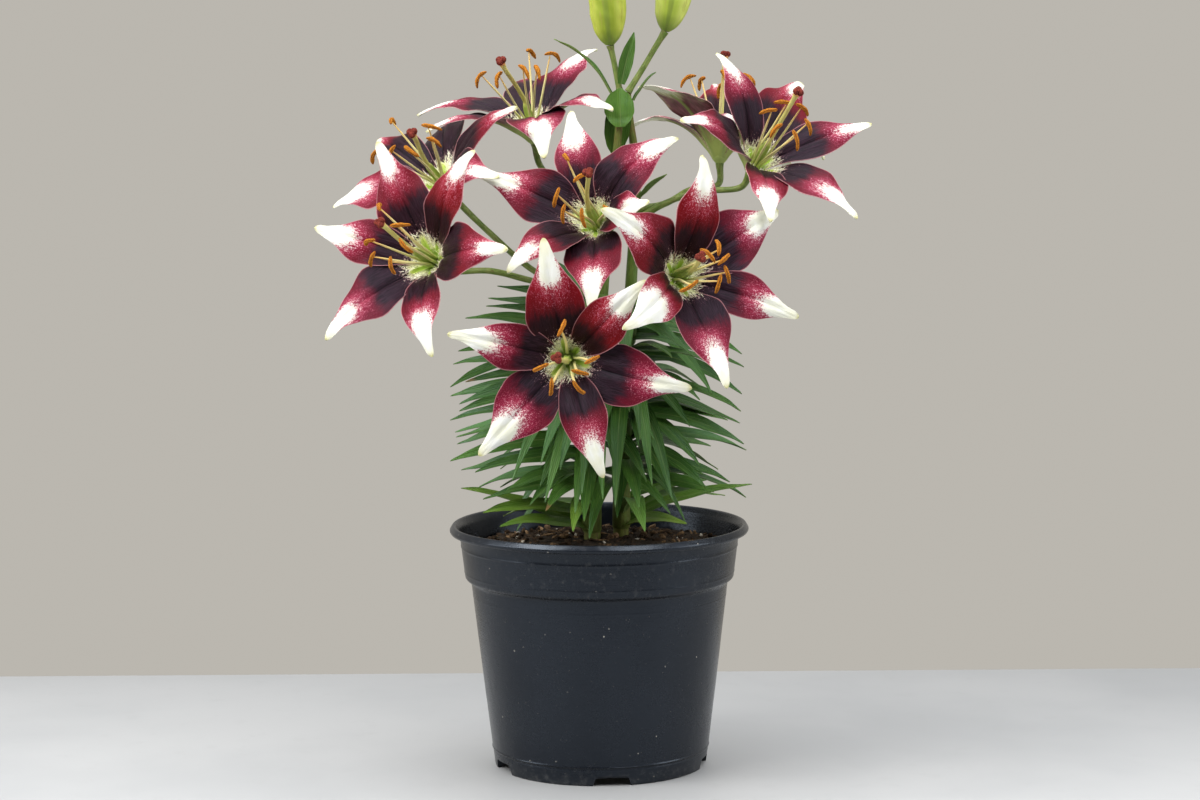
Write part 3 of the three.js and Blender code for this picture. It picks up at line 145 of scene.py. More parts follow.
LEAVES = [
    ('left', 7, [0, 4.2, 266.2], [-35, 57, 287.7], 1, 7.5, -40),
    ('left', 7, [-2.3, 0, 262.8], [-56.5, -5, 274.1], 2, 7, -42),
    ('left', 7, [-2.5, 2.2, 256], [-63.2, 35, 264.4], 2, 7.5, -40),
    ('left', 7, [-3.4, -0.2, 251.5], [-63, 0, 262.5], 3, 8.1, -30),
    ('left', 6, [-3.6, 0.7, 245.8], [-75.8, 18, 254.3], 4, 8.7, -42),
    ('left', 6, [-4.3, -1.6, 236.7], [-78.4, -15, 238.4], 4, 9.3, -51),
    ('left', 6, [-4.4, 0.6, 233.1], [-83.6, 30, 226.8], 4, 9.3, -36),
    ('left', 6, [-4.5, -2, 233.1], [-82.8, -20, 218.7], 10, 10.4, -30),
    ('left', 5, [-5.5, -0.4, 218.9], [-85, 20, 209.3], 5, 9.9, -49),
    ('left', 5, [-5.2, -3.4, 219.5], [-77.3, -32, 210.4], 7, 9.9, -41),
    ('left', 4, [-6.1, -1.5, 211.5], [-79.2, 4, 202.4], 6, 10.4, -33),
    ('left', 4, [-6.1, -0.5, 206.8], [-85.5, 26, 194.8], 4, 9.9, -42),
    ('left', 3, [-5.9, 0.4, 200.2], [-83.9, 48, 185.1], 3, 9.3, -44),
    ('left', 3, [-6.8, -1.5, 195], [-80.9, 10, 182.8], 5, 9.3, -33),
    ('left', 2, [-7.3, -3.4, 187.3], [-83.5, -18, 176.7], 5, 11, -48),
    ('left', 2, [-7.1, -0.4, 180.9], [-80, 34, 164.6], 3, 8.1, -40),
    ('left', 0, [-9.2, -3.4, 138.7], [-78, -8, 160], 3, 8.7, -33),
    ('left', 1, [-7.9, -5.6, 160.7], [-64.4, -38, 157.9], 4, 9.9, -28),
    ('left', 0, [-8.1, -6, 144.7], [-64.3, -44, 151.1], 5, 10.4, -42),
    ('left', 0, [-7.6, -7, 136.3], [-54.5, -58, 145.5], 5, 11, -24),
    ('right', 5, [21.7, 8.9, 254.6], [81.1, -8, 235], 6, 8.7, 37),
    ('right', 5, [21.5, 10.6, 246], [83.8, 22, 224.7], 5, 8.7, 43),
    ('right', 4, [20.9, 9.3, 232.8], [81.8, 6, 210.8], 8, 9.9, 39),
    ('right', 3, [20.1, 7.8, 219.5], [80.3, -12, 203.1], 6, 10.4, 27),
    ('right', 3, [19.7, 10.3, 211.1], [81.7, 28, 191.6], 5, 9.3, 33),
    ('right', 2, [19.5, 7.8, 200.3], [82.4, -4, 183.4], 7, 10.4, 39),
    ('right', 2, [18.3, 10.9, 188.7], [65.6, 44, 176.3], 3, 9.3, 38),
    ('right', 1, [18.4, 8.7, 173.8], [75.7, 24, 157.9], 5, 8.7, 41),
    ('right', 0, [17.7, 6.2, 139.9], [87.3, 4, 159.4], 5, 8.7, 38),
    ('right', 0, [17.2, 9.3, 151.4], [66.5, 40, 157.8], 4, 9.9, 28),
    ('right', 0, [15.3, 2, 136.8], [48.4, -52, 145.4], 4, 10.4, 24),
    ('right', 5, [22.1, 10.5, 259.3], [58.3, 14, 238.2], 5, 9.3, 32),
    ('right', 1, [17, 4, 177.5], [59.2, -46, 164.3], 11, 9.9, 29),
    ('left', 5, [-3.6, -5.4, 219.7], [-47.4, -62, 170.7], 23.4, 9.7, -24),
    ('left', 4, [-3.1, -6.6, 208.3], [-31.2, -80.2, 183.1], 21, 9.2, -15),
    ('left', 3, [-3.5, -6.8, 199.8], [-29.3, -72, 160.4], 23.4, 9.2, -14),
    ('left', 3, [-3, -7.2, 195.2], [-20.8, -84, 180.1], 19.8, 8.6, -7),
    ('left', 2, [-3.2, -7.6, 182.6], [-13, -74, 154.6], 19.8, 9.7, -5),
    ('left', 4, [-1.9, -7, 207.1], [-9.1, -84, 166.9], 27, 9.2, -4),
    ('left', 2, [-2, -7.5, 186.1], [2.2, -88, 164.2], 21.6, 8.6, 2),
    ('right', 2, [14.9, 4.4, 207.5], [8.7, -80, 159.1], 25.2, 10.3, -2),
    ('right', 3, [16.4, 4.8, 219.3], [28.8, -80, 170.4], 23.4, 9.2, 5),
    ('right', 2, [16.5, 4.4, 202.9], [39.9, -66, 160.7], 23.4, 9.2, 16),
    ('right', 1, [14, 2.5, 168.6], [21.7, -72, 157.1], 16.2, 11.9, 5),
    ('right', 0, [13.5, 1.6, 144.5], [24.9, -74, 144.7], 14.4, 11.9, 6),
    ('left', 0, [-4.5, -8.3, 144.5], [-14.2, -74, 145], 14.4, 12.4, -6),
    ('left', 0, [-5.4, -7.9, 157.1], [-29, -66, 155.1], 11.2, 11.3, -21),
    ('right', 4, [18.2, 5.5, 237.5], [40.4, -58, 238.3], 6, 9.3, 11),
    ('left', 6, [-2.6, -5.1, 231], [-42.5, -70, 205.7], 16.2, 9.2, -23),
    ('right', 3, [18.5, 5.6, 223], [55.9, -50, 213.7], 7, 9.9, 16),
    ('left', 6, [-0.5, -5, 243.5], [-12.3, -52.8, 209.6], 14.3, 8.6, -9),
    ('right', 4, [16.9, 5.1, 233], [22.4, -84, 196], 21.6, 9.2, 3),
    ('left', 5, [-4.8, -2.8, 226.4], [-73.9, -25.2, 222.1], 3.7, 9.9, -43),
    ('left', 3, [-6.7, -0.9, 194.6], [-82, 22, 185.4], 4, 9.9, -29),
    ('left', 2, [-7.3, -4.9, 178.2], [-68.8, -34, 172.5], 4, 9.9, -38),
    ('left', 1, [-7.4, -0.1, 170.8], [-57.3, 30, 155], 4, 9.3, -30),
    ('left', 1, [-7, -6.6, 164.1], [-50.9, -49.5, 164.3], 7.5, 10.4, -20),
    ('right', 4, [19.5, 6.2, 236.3], [62.7, -46, 233.1], 4, 10.4, 18),
    ('right', 5, [20.3, 6.8, 242.9], [61.1, -30, 235.5], 4, 9.9, 21),
    ('right', 5, [20, 6.4, 261.2], [44.2, -44, 255.1], 4, 11, 13),
    ('right', 2, [19.1, 10.9, 202], [75.3, 40, 192], 4, 9.3, 32),
    ('right', 1, [15.5, 3.2, 178.9], [40.6, -65.4, 160.1], 18.7, 9.7, 15),
    ('right', 0, [17.2, 4.1, 160.8], [64.3, -30, 159.8], 5, 9.9, 34),
    ('right', 1, [17, 3.9, 171.8], [57.8, -37.7, 170.9], 4.8, 10.4, 28),
    ('left', 1, [-5.9, -7.5, 164.3], [-37.8, -62, 157.6], 10.8, 10.3, -15),
    ('left', 1, [-8.2, -4.7, 161.5], [-46.5, -17.8, 136.5], 15.5, 10.2, -15),
    ('left', 1, [1, -6.1, 168.1], [39.8, -36.2, 148.5], 9.1, 9.7, 24),
    ('left', 1, [-3.2, -7.9, 174.5], [-8.1, -68.9, 149.8], 9.9, 10.3, -2),
    ('left', 2, [-7.4, -4, 181.1], [-45.8, -14.5, 149.1], 7.6, 9.2, -28),
    ('left', 2, [0.3, -6.9, 187.5], [26.3, -52.7, 168.8], 13.8, 10.1, 14),
    ('left', 3, [-4.7, -6.5, 194.1], [-32.4, -48.6, 166.1], 13.5, 10.3, -17),
    ('left', 3, [3.3, -2.3, 200.5], [41.5, -2.7, 166.1], 12.9, 9.5, 21),
    ('left', 4, [-0.5, -6.8, 207.6], [9.8, -61.3, 174.3], 16.1, 10.2, 1),
    ('left', 4, [-5.1, -4.4, 214], [-38.9, -26.4, 194.1], 12.9, 10.6, -25),
    ('left', 5, [2.2, -5.3, 220.6], [30.5, -43.4, 191.3], 10.6, 10.2, 9),
    ('left', 5, [-1.8, -5.7, 227], [-16.7, -49.3, 212.2], 9.1, 9.9, -10),
    ('left', 6, [-4.5, -0.2, 233.6], [-60.4, 8.5, 212.1], 9.3, 10, -15),
    ('left', 6, [1.9, -5.1, 240], [17.4, -48.8, 207.3], 8, 9.9, 10),
    ('left', 6, [-3.3, -2.5, 246.6], [-43.1, -22.6, 237.1], 10.6, 10, -11),
    ('left', 7, [4.9, -2.7, 253], [52.8, -36.8, 236.5], 11.7, 10.4, 25),
    ('left', 7, [1.4, -4.2, 259.6], [-2.7, -59.9, 228.9], 10.1, 10.2, -2),
    ('right', 0, [11.8, 2.2, 159.3], [-5.5, -62, 138.9], 18.6, 10.5, -9),
    ('right', 1, [16.6, 3.6, 165.9], [48.2, -32, 142.9], 16.3, 9.6, 9),
    ('right', 1, [13.4, 2.7, 172.6], [10, -47.9, 148.3], 10, 10.3, -3),
    ('right', 1, [9.2, 8.3, 179.2], [-24, 11.4, 151.5], 14.1, 9, -14),
    ('right', 2, [19, 7.2, 185.8], [39.9, 3, 175.9], 7, 9.6, 12),
    ('right', 2, [13.5, 3.7, 192.4], [5.1, -35, 193.8], 6, 10.5, -14),
    ('right', 2, [19.1, 6.9, 199.1], [57.2, -7.9, 171.5], 9.2, 10.6, 28),
    ('right', 2, [15.6, 4.3, 205.7], [22, -48.7, 188.1], 13.8, 9.5, 4),
    ('right', 3, [11, 8.8, 213.9], [-42.9, 4.9, 207.8], 9.8, 9.1, -22),
    ('right', 3, [19.1, 6.1, 220.5], [51.1, -25.9, 196.3], 8.2, 9, 21),
    ('right', 4, [15.1, 5.1, 227.2], [2.7, -45.9, 195.8], 13.9, 10.5, -8),
    ('right', 4, [12.2, 9.9, 233.8], [-40, 14.5, 214.3], 10.6, 10.2, -13),
    ('right', 5, [16.9, 5.4, 241.1], [15.3, -49.4, 223.2], 18.6, 9.2, 7),
    ('right', 5, [15.5, 6, 247.7], [-7.3, -39.6, 233.7], 7.3, 9.6, -15),
    ('right', 5, [21.5, 8.2, 254.4], [64, -12, 212.8], 10.2, 10, 26),
    ('right', 5, [17.9, 6, 261], [14.5, -51.1, 230.4], 10, 9.7, -1),
    ('left', 0, [-3.5, 2.4, 139.9], [0.4, 64.7, 133.7], 13.2, 9, 3),
    ('left', 0, [-7.7, 0.4, 147.8], [-56.1, 41.2, 136.3], 6.3, 10.1, -22),
    ('left', 0, [-4.8, 2.1, 155.7], [-23, 71.2, 147.4], 7.8, 9.1, -8),
    ('left', 1, [-8.2, -1.2, 163.9], [-69.8, 22.3, 155.8], 9, 9.6, -28),
    ('left', 1, [-7, 0.3, 171.7], [-57.4, 38.9, 164.4], 11.5, 10.4, -16),
    ('left', 2, [-3.3, 2.4, 179.6], [-10.5, 57.5, 173.4], 11.9, 8.7, 0),
    ('left', 2, [-6.5, 0.3, 187.5], [-58.6, 35.1, 169.9], 8.8, 10.3, -25),
    ('left', 3, [-3.8, 2.3, 195.4], [-30, 65, 177.8], 9, 9, -12),
    ('left', 3, [-6.1, -0.2, 203.2], [-69.9, 27, 186.5], 9.7, 9, -21),
    ('left', 4, [-4.6, 1.6, 211.6], [-49, 48.6, 204.7], 11, 8.9, -21),
    ('left', 5, [-0.9, 3.2, 219.5], [-3.7, 62.4, 202.1], 11.1, 10.1, -4),
    ('left', 5, [-4.2, 1.5, 227.4], [-59.1, 38.6, 201.5], 3.9, 9.6, -25),
    ('left', 6, [-1.7, 3.4, 235.2], [-30.2, 68.4, 217], 13.2, 9.7, -10),
    ('left', 6, [0.8, 4.1, 243.1], [4, 64.2, 227.8], 7.9, 8.9, 2),
    ('left', 7, [-2.4, 2.6, 251], [-54.8, 44.5, 235.8], 11.9, 9.7, -23),
    ('left', 7, [0.3, 4.4, 258.9], [-19.4, 66, 238], 10.1, 8.9, -9),
    ('right', 0, [16.9, 9.3, 141.9], [74, 48.4, 146.6], 8.4, 8.8, 25),
    ('right', 0, [13, 11.7, 149.6], [14.6, 85.5, 154.9], 10, 9.1, 1),
    ('right', 0, [15.9, 10.9, 157.4], [57.4, 70.5, 144.8], 6.8, 10.1, 17),
    ('right', 1, [17.8, 8.9, 165.1], [85.6, 35.7, 147.2], 9.4, 8.9, 28),
    ('right', 1, [14.9, 12.2, 172.9], [30.7, 75.5, 154.5], 9.3, 8.9, 7),
    ('right', 1, [17.5, 11, 180.6], [70.4, 59.2, 160.5], 9.4, 9.3, 22),
    ('right', 2, [19.1, 8.9, 188.4], [84.9, 19, 177.1], 6.2, 10.2, 30),
    ('right', 2, [16.8, 12.7, 196.1], [47, 72.2, 178.1], 7.9, 10, 14),
    ('right', 2, [19.1, 10.9, 203.9], [69.3, 35.7, 194], 7.6, 8.8, 24),
    ('right', 3, [15.9, 13.6, 213.2], [23.5, 83.9, 191.2], 8.6, 9.5, 3),
    ('right', 3, [18.8, 12.7, 221], [63.2, 66.1, 205.8], 9.5, 9.8, 19),
    ('right', 4, [20.5, 10.7, 228.7], [82, 29.1, 209.7], 10.6, 10.2, 29),
    ('right', 4, [18.2, 13.7, 236.5], [38.3, 72.2, 208.3], 6, 10, 10),
    ('right', 5, [20.6, 12.4, 244.9], [74.4, 53.5, 233.6], 8.5, 10.1, 24),
    ('right', 5, [17.5, 14.1, 252.7], [15.7, 73.9, 230.5], 10.8, 9.5, -1),
    ('right', 5, [20.3, 13.6, 260.4], [55.2, 69.9, 247.1], 7.2, 9.3, 16),
]
BRACTS = [
    ('round_bract', [13.5, -2.5, 362.6], [13.4, -1.3, 384.3], -0.5, 17.5, -14, True),
    ('drooping_bract', [14, 4.6, 376.5], [9.9, 8, 345.6], 3, 15, 0, True),
    ('upright_bract', [14, -2.9, 386.5], [21.4, -6, 415.2], 1, 8, 0, False),
    ('bent_bract', [10.3, 1, 378.7], [-23.4, 6, 411.9], 8, 5, 0, False),
    ('small_bract', [20.8, 9, 377.5], [33.9, 16, 393.1], 3, 3.5, 0, False),
    ('fork_bract', [23.3, 7.4, 321.9], [39.4, -4, 336.2], 2, 6, 0, False),
    ('long_bract', [25, 14, 308.6], [50.9, 24, 320.5], 3, 8, 0, False),
    ('low_bract', [24.3, 8, 306], [42.2, 0, 303.5], 4, 11, 0, False),
]
STEM_RADII = {'left': [4.9, 4.8, 4.5, 4.2, 3.8, 3.2, 2.6, 2.0, 1.7], 'right': [4.5, 4.4, 4.2, 3.9, 3.5, 3.1, 2.7, 2.3, 1.9, 1.6]}
STALK_RADIUS = [2.1, 1.7, 1.7, 2.1]
# Where along each petal the white tip begins, and how bright the red below it is.
WHITE = {
    'a1': (.67, .75), 'a2': (.70, .15), 'a3': (.61, .1), 'a4': (.64, .25), 'a5': (.69, .3), 'a6': (.66, .9),
    'b1': (.70, .5), 'b2': (.72, .9), 'b3': (.74, .45), 'b4': (.65, .35), 'b5': (.68, .1), 'b6': (.65, .3),
    'c1': (.60, .3), 'c2': (.90, .4), 'c3': (.92, .4), 'c4': (.82, .5), 'c5': (.72, .3), 'c6': (.68, .3),
    'd1': (.72, .2), 'd2': (.76, .2), 'd3': (.93, .3), 'd4': (.64, .1), 'd5': (.68, .2), 'd6': (.62, .1),
    'e1': (.69, .3), 'e2': (.64, .2), 'e3': (.69, .15), 'e4': (.66, .3), 'e5': (.66, .35), 'e6': (.70, .4),
    'f1': (.66, .6), 'f2': (.68, .9), 'f3': (.65, .1), 'f4': (.66, .2), 'f5': (.67, .1), 'f6': (.52, .5),
    'g1': (.76, .25), 'g2': (.71, .2), 'g3': (.74, .5), 'g4': (.75, .15), 'g5': (.64, .2), 'g6': (.66, .4),
    'h1': (.66, .2), 'h2': (.90, .7), 'h3': (.70, .3), 'h4': (.68, .3), 'h5': (.70, .3), 'h6': (.68, .2),
}
INNER_PROFILE = [[0, 0.16], [0.1, 0.22], [0.2, 0.44], [0.32, 0.82], [0.45, 1], [0.58, 0.88], [0.7, 0.62], [0.8, 0.42], [0.9, 0.27], [0.96, 0.19], [1, 0.12]]
OUTER_PROFILE = [[0, 0.22], [0.1, 0.32], [0.2, 0.52], [0.32, 0.8], [0.45, 0.98], [0.55, 1], [0.67, 0.82], [0.78, 0.56], [0.88, 0.36], [0.95, 0.24], [1, 0.16]]
PETAL_CUP = [[0, 0.15], [0.25, 0.35], [0.5, 0.05], [0.75, -0.15], [1, -0.25]]
LEAF_PROFILE = [[0, 0.5], [0.18, 0.82], [0.42, 1], [0.68, 0.8], [0.88, 0.4], [1, 0]]
BROAD_PROFILE = [[0, 0.3], [0.18, 0.72], [0.42, 1], [0.68, 0.95], [0.88, 0.62], [1, 0]]
INNER_WIDTH, OUTER_WIDTH = 34.0, 25.5

Z = np.array([0.0, 0.0, 1.0])


def unit(v):
    v = np.asarray(v, float)
    return v / np.maximum(np.linalg.norm(v, axis=-1, keepdims=True), 1e-12)


def smooth(x, a, b):
    t = np.clip((np.asarray(x, float) - a) / (b - a), 0, 1)
    return t * t * (3 - 2 * t)


def table(rows, sigma=0.03, n=500):
    """A smooth curve through (position, value) rows."""
    x = np.linspace(0, 1, n)
    y = np.interp(x, [r[0] for r in rows], [r[1] for r in rows])
    k = int(3 * sigma * n)
    g = np.exp(-0.5 * (np.arange(-k, k + 1) / (sigma * n)) ** 2)
    g /= g.sum()
    pad = np.concatenate([2 * y[0] - y[k:0:-1], y, 2 * y[-1] - y[-2:-k - 2:-1]])
    ys = np.convolve(pad, g, 'valid')
    return lambda s: np.interp(s, x, ys)


def lattice(ix, iy, iz, seed):
    h = (ix * 374761393 + iy * 668265263 + iz * 1274126177 + seed * 974634777) & 0xFFFFFFFF
    h = ((h ^ (h >> 13)) * 1103515245) & 0xFFFFFFFF
    h = ((h ^ (h >> 16)) * 69069) & 0xFFFFFFFF
    return ((h >> 8) & 0xFFFF) / 65535.0


def noise(p, seed=0, octaves=1):
    """Value noise from -1 to 1 at points p (n, 3)."""
    p = np.asarray(p, float)
    total, amp, norm = np.zeros(len(p)), 1.0, 0.0
    for o in range(octaves):
        q = p * (2.03 ** o) + 31.7 * o
        i = np.floor(q).astype(np.int64)
        f = q - i
        f = f * f * (3 - 2 * f)
        v = np.zeros(len(p))
        for dx in (0, 1):
            for dy in (0, 1):
                for dz in (0, 1):
                    w = (f[:, 0] if dx else 1 - f[:, 0]) * (f[:, 1] if dy else 1 - f[:, 1]) * (f[:, 2] if dz else 1 - f[:, 2])
                    v += w * lattice(i[:, 0] + dx, i[:, 1] + dy, i[:, 2] + dz, seed + o)
        total += amp * (2 * v - 1)
        norm += amp
        amp *= 0.5
    return total / norm


# ------------------------------------------------------------------ meshes
FIELDS = ('ta', 'tb', 'tc', 'td')


class Bag:
    """Collects pieces of mesh, each point with four small vectors that the materials read."""

    def __init__(self):
        self.v, self.q, self.t, self.qm, self.tm, self.n = [], [], [], [], [], 0
        self.a = {k: [] for k in FIELDS}

    def add(self, v, quads=(), tris=(), mat=0, tri_mat=None, **fields):
        v = np.asarray(v, float).reshape(-1, 3)
        for faces, store, mats, m in ((quads, self.q, self.qm, mat), (tris, self.t, self.tm, mat if tri_mat is None else tri_mat)):
            if len(faces):
                faces = np.asarray(faces, int)
                store.append(faces + self.n)
                mats.append(np.broadcast_to(np.asarray(m, int), (len(faces),)))
        for k in FIELDS:
            f = fields.get(k)
            self.a[k].append(np.zeros((len(v), 3)) if f is None else np.broadcast_to(np.asarray(f, float), (len(v), 3)))
        self.v.append(v)
        self.n += len(v)

    def build(self, name, materials, nodes=(), sharp=42, stage=False):
        me = bpy.data.meshes.new(name)
        v = np.concatenate(self.v) * 0.001
        q = np.concatenate(self.q) if self.q else np.zeros((0, 4), int)
        t = np.concatenate(self.t) if self.t else np.zeros((0, 3), int)
        me.vertices.add(len(v))
        me.vertices.foreach_set('co', v.astype(np.float32).ravel())
        loops = np.concatenate([q.ravel(), t.ravel()]).astype(np.int32)
        me.loops.add(len(loops))
        me.loops.foreach_set('vertex_index', loops)
        start = np.concatenate([np.arange(len(q)) * 4, len(q) * 4 + np.arange(len(t)) * 3]).astype(np.int32)
        me.polygons.add(len(q) + len(t))
        me.polygons.foreach_set('loop_start', start)
        me.update(calc_edges=True)
        me.validate(verbose=False)
        mats = np.concatenate(self.qm + self.tm) if (self.qm or self.tm) else np.zeros(0, int)
        me.polygons.foreach_set('material_index', mats.astype(np.int32))
        me.polygons.foreach_set('use_smooth', np.ones(len(q) + len(t), bool))
        for k in FIELDS:
            a = np.concatenate(self.a[k])
            if np.any(a):
                me.attributes.new(k, 'FLOAT_VECTOR', 'POINT').data.foreach_set('vector', a.astype(np.float32).ravel())
        if sharp:
            me.set_sharp_from_angle(angle=math.radians(sharp))
        for m in materials:
            me.materials.append(m)
        ob = bpy.data.objects.new(name, me)
        bpy.context.scene.collection.objects.link(ob)
        if stage:
            ob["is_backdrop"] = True
        else:
            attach(ob, 'root')
            if nodes:
                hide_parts(*nodes)
        return ob


def grid(nu, nv, wrap=False, flip=False, start=0):
    """Faces of a grid of nu rows of nv points; they face along row-direction x column-direction, as (v x u)."""
    i, j = np.meshgrid(np.arange(nu - 1), np.arange(nv if wrap else nv - 1), indexing='ij')
    k = (j + 1) % nv
    f = np.stack([i * nv + j, i * nv + k, (i + 1) * nv + k, (i + 1) * nv + j], -1).reshape(-1, 4) + start
    return f[:, ::-1] if flip else f


def spline(points, t):
    """Centripetal Catmull-Rom, each stretch between two points taking the same share of t."""
    p = np.asarray(points, float)
    n = len(p)
    t = np.atleast_1d(np.asarray(t, float))
    f = np.clip(t, 0, 1) * (n - 1)
    k = np.minimum(np.floor(f).astype(int), n - 2)
    w = (f - k)[:, None]
    first, last = 2 * p[0] - p[1], 2 * p[-1] - p[-2]
    ext = np.vstack([first, p, last])
    p0, p1, p2, p3 = ext[k], ext[k + 1], ext[k + 2], ext[k + 3]
    d = lambda a, b: np.maximum(np.linalg.norm(a - b, axis=1, keepdims=True) ** 0.5, 1e-4)
    d0, d1, d2 = d(p0, p1), d(p1, p2), d(p2, p3)
    m1 = ((p1 - p0) / d0 - (p2 - p0) / (d0 + d1) + (p2 - p1) / d1) * d1
    m2 = ((p2 - p1) / d1 - (p3 - p1) / (d1 + d2) + (p3 - p2) / d2) * d1
    return p1 + m1 * w + (-3 * p1 + 3 * p2 - 2 * m1 - m2) * w ** 2 + (2 * p1 - 2 * p2 + m1 + m2) * w ** 3


def frames(p):
    """Tangents and two cross directions carried along a line of points without twisting."""
    d = unit(np.gradient(p, axis=0))
    ref = np.array([0, 1.0, 0]) if abs(d[0][1]) < 0.8 else np.array([1.0, 0, 0])
    x = np.zeros_like(p)
    for i in range(len(p)):
        ref = unit(ref - d[i] * (ref @ d[i]))
        x[i] = ref
    return d, x, np.cross(d, x)


def tube(bag, p, radius, sides=14, seed=0.0, mat=0, shape=None, caps=(True, True), field=None):
    """A round rod along points p. shape(t, angle) multiplies the radius, field gives the points' tb."""
    n = len(p)
    d, x, y = frames(p)
    a = 2 * np.pi * np.arange(sides) / sides
    t = np.linspace(0, 1, n)
    r = np.broadcast_to(np.asarray(radius, float), (n,))[:, None] * np.ones(sides)
    if shape is not None:
        r = r * shape(t[:, None], a[None, :])
    ring = p[:, None] + r[..., None] * (np.cos(a)[None, :, None] * x[:, None] + np.sin(a)[None, :, None] * y[:, None])
    along = np.concatenate([[0], np.cumsum(np.linalg.norm(np.diff(p, axis=0), axis=1))])
    v = ring.reshape(-1, 3)
    ta = np.stack([(r * a[None, :]).ravel(), np.repeat(along, sides), np.full(n * sides, seed)], -1)
    tb = np.stack([np.repeat(t, sides), v[:, 2], np.tile(a, n)], -1)
    tris, extra, ea, eb = [], [], [], []
    for end, on in ((0, caps[0]), (n - 1, caps[1])):
        if on:
            c = n * sides + len(extra)
            extra.append(p[end])
            ea.append([0, along[end], seed])
            eb.append([t[end], p[end][2], 0])
            j = np.arange(sides)
            k = (j + 1) % sides
            tri = np.stack([np.full(sides, c), end * sides + j, end * sides + k], -1)
            tris.append(tri[:, ::-1] if end == 0 else tri)
    quads = grid(n, sides, wrap=True)
    if extra:
        v, ta, tb = np.vstack([v, extra]), np.vstack([ta, ea]), np.vstack([tb, eb])
        tris = np.vstack(tris)
    fields = dict(ta=ta, tb=tb)
    if field is not None:
        fields['tc'] = field
    bag.add(v, quads, tris, mat=mat, **fields)
    return ring


def flower_frame(axis):
    a = unit(axis)
    ref = Z.copy() if abs(a[2]) < 0.85 else np.array([0, -1.0, 0])
    e1 = unit(ref - a * (ref @ a))
    return a, e1, np.cross(a, e1)


# ------------------------------------------------------------------ materials
class Mat:
    """A small language for procedural materials."""

    def __init__(self, name, **fixed):
        self.m = bpy.data.materials.new(name)
        self.m.use_nodes = True
        self.t = self.m.node_tree
        self.t.nodes.clear()
        self.out = self.t.nodes.new('ShaderNodeOutputMaterial')
        self.b = self.t.nodes.new('ShaderNodeBsdfPrincipled')
        self.t.links.new(self.b.outputs[0], self.out.inputs['Surface'])
        for k, v in fixed.items():
            self.b.inputs[k.replace('_', ' ')].default_value = v

    def put(self, socket, value):
        if isinstance(value, bpy.types.NodeSocket):
            self.t.links.new(value, socket)
        elif isinstance(value, (tuple, list)):
            socket.default_value = tuple(value) + ((1.0,) if len(value) == 3 and socket.type == 'RGBA' else ())
        else:
            socket.default_value = value

    def set(self, **values):
        for k, v in values.items():
            self.put(self.b.inputs[k.replace('_', ' ')], v)
        return self

    def attr(self, name):
        n = self.t.nodes.new('ShaderNodeAttribute')
        n.attribute_name = name
        s = self.t.nodes.new('ShaderNodeSeparateXYZ')
        self.t.links.new(n.outputs['Vector'], s.inputs[0])
        return s.outputs[0], s.outputs[1], s.outputs[2]

    def place(self):
        """The point in the object's own frame, in millimetres."""
        n = self.t.nodes.new('ShaderNodeTexCoord')
        s = self.t.nodes.new('ShaderNodeVectorMath')
        s.operation = 'SCALE'
        self.t.links.new(n.outputs['Object'], s.inputs[0])
        s.inputs['Scale'].default_value = 1000.0
        return s.outputs[0]

    def split(self, v):
        s = self.t.nodes.new('ShaderNodeSeparateXYZ')
        self.t.links.new(v, s.inputs[0])
        return s.outputs[0], s.outputs[1], s.outputs[2]

    def vec(self, x, y, z):
        n = self.t.nodes.new('ShaderNodeCombineXYZ')
        for s, v in zip(n.inputs, (x, y, z)):
            self.put(s, v)
        return n.outputs[0]

    def op(self, kind, a, b=0.0, clamp=False):
        n = self.t.nodes.new('ShaderNodeMath')
        n.operation = kind
        n.use_clamp = clamp
        self.put(n.inputs[0], a)
        self.put(n.inputs[1], b)
        return n.outputs[0]

    def add(self, *xs):
        r = xs[0]
        for x in xs[1:]:
            r = self.op('ADD', r, x)
        return r

    def mul(self, *xs, clamp=False):
        r = xs[0]
        for x in xs[1:]:
            r = self.op('MULTIPLY', r, x, clamp)
        return r

    def noise(self, v, scale, detail=2.0, rough=0.5, dist=0.0):
        n = self.t.nodes.new('ShaderNodeTexNoise')
        self.put(n.inputs['Vector'], v)
        for k, x in (('Scale', scale), ('Detail', detail), ('Roughness', rough), ('Distortion', dist)):
            n.inputs[k].default_value = x
        return n.outputs[0]

    def cells(self, v, scale, rand=1.0, feature='F1', out='Distance'):
        n = self.t.nodes.new('ShaderNodeTexVoronoi')
        n.feature = feature
        self.put(n.inputs['Vector'], v)
        n.inputs['Scale'].default_value = scale
        n.inputs['Randomness'].default_value = rand
        return n.outputs[out]

    def rng(self, x, a, b, c=0.0, d=1.0, kind='SMOOTHSTEP'):
        n = self.t.nodes.new('ShaderNodeMapRange')
        n.interpolation_type = kind
        for s, v in zip(n.inputs, (x, a, b, c, d)):
            self.put(s, v)
        return n.outputs[0]

    def mix(self, f, a, b, kind='MIX'):
        n = self.t.nodes.new('ShaderNodeMix')
        n.data_type = 'RGBA'
        n.blend_type = kind
        self.put(n.inputs[0], f)
        self.put(n.inputs[6], a)
        self.put(n.inputs[7], b)
        return n.outputs[2]

    def ramp(self, f, stops):
        n = self.t.nodes.new('ShaderNodeValToRGB')
        self.put(n.inputs[0], f)
        e = n.color_ramp.elements
        while len(e) < len(stops):
            e.new(0.5)
        for el, (pos, col) in zip(e, stops):
            el.position = pos
            el.color = tuple(col) + (1.0,)
        return n.outputs[0]

    def bump(self, height, distance, strength=1.0, under=None):
        n = self.t.nodes.new('ShaderNodeBump')
        n.inputs['Strength'].default_value = strength
        n.inputs['Distance'].default_value = distance
        self.put(n.inputs['Height'], height)
        if under is not None:
            self.put(n.inputs['Normal'], under)
        return n.outputs[0]


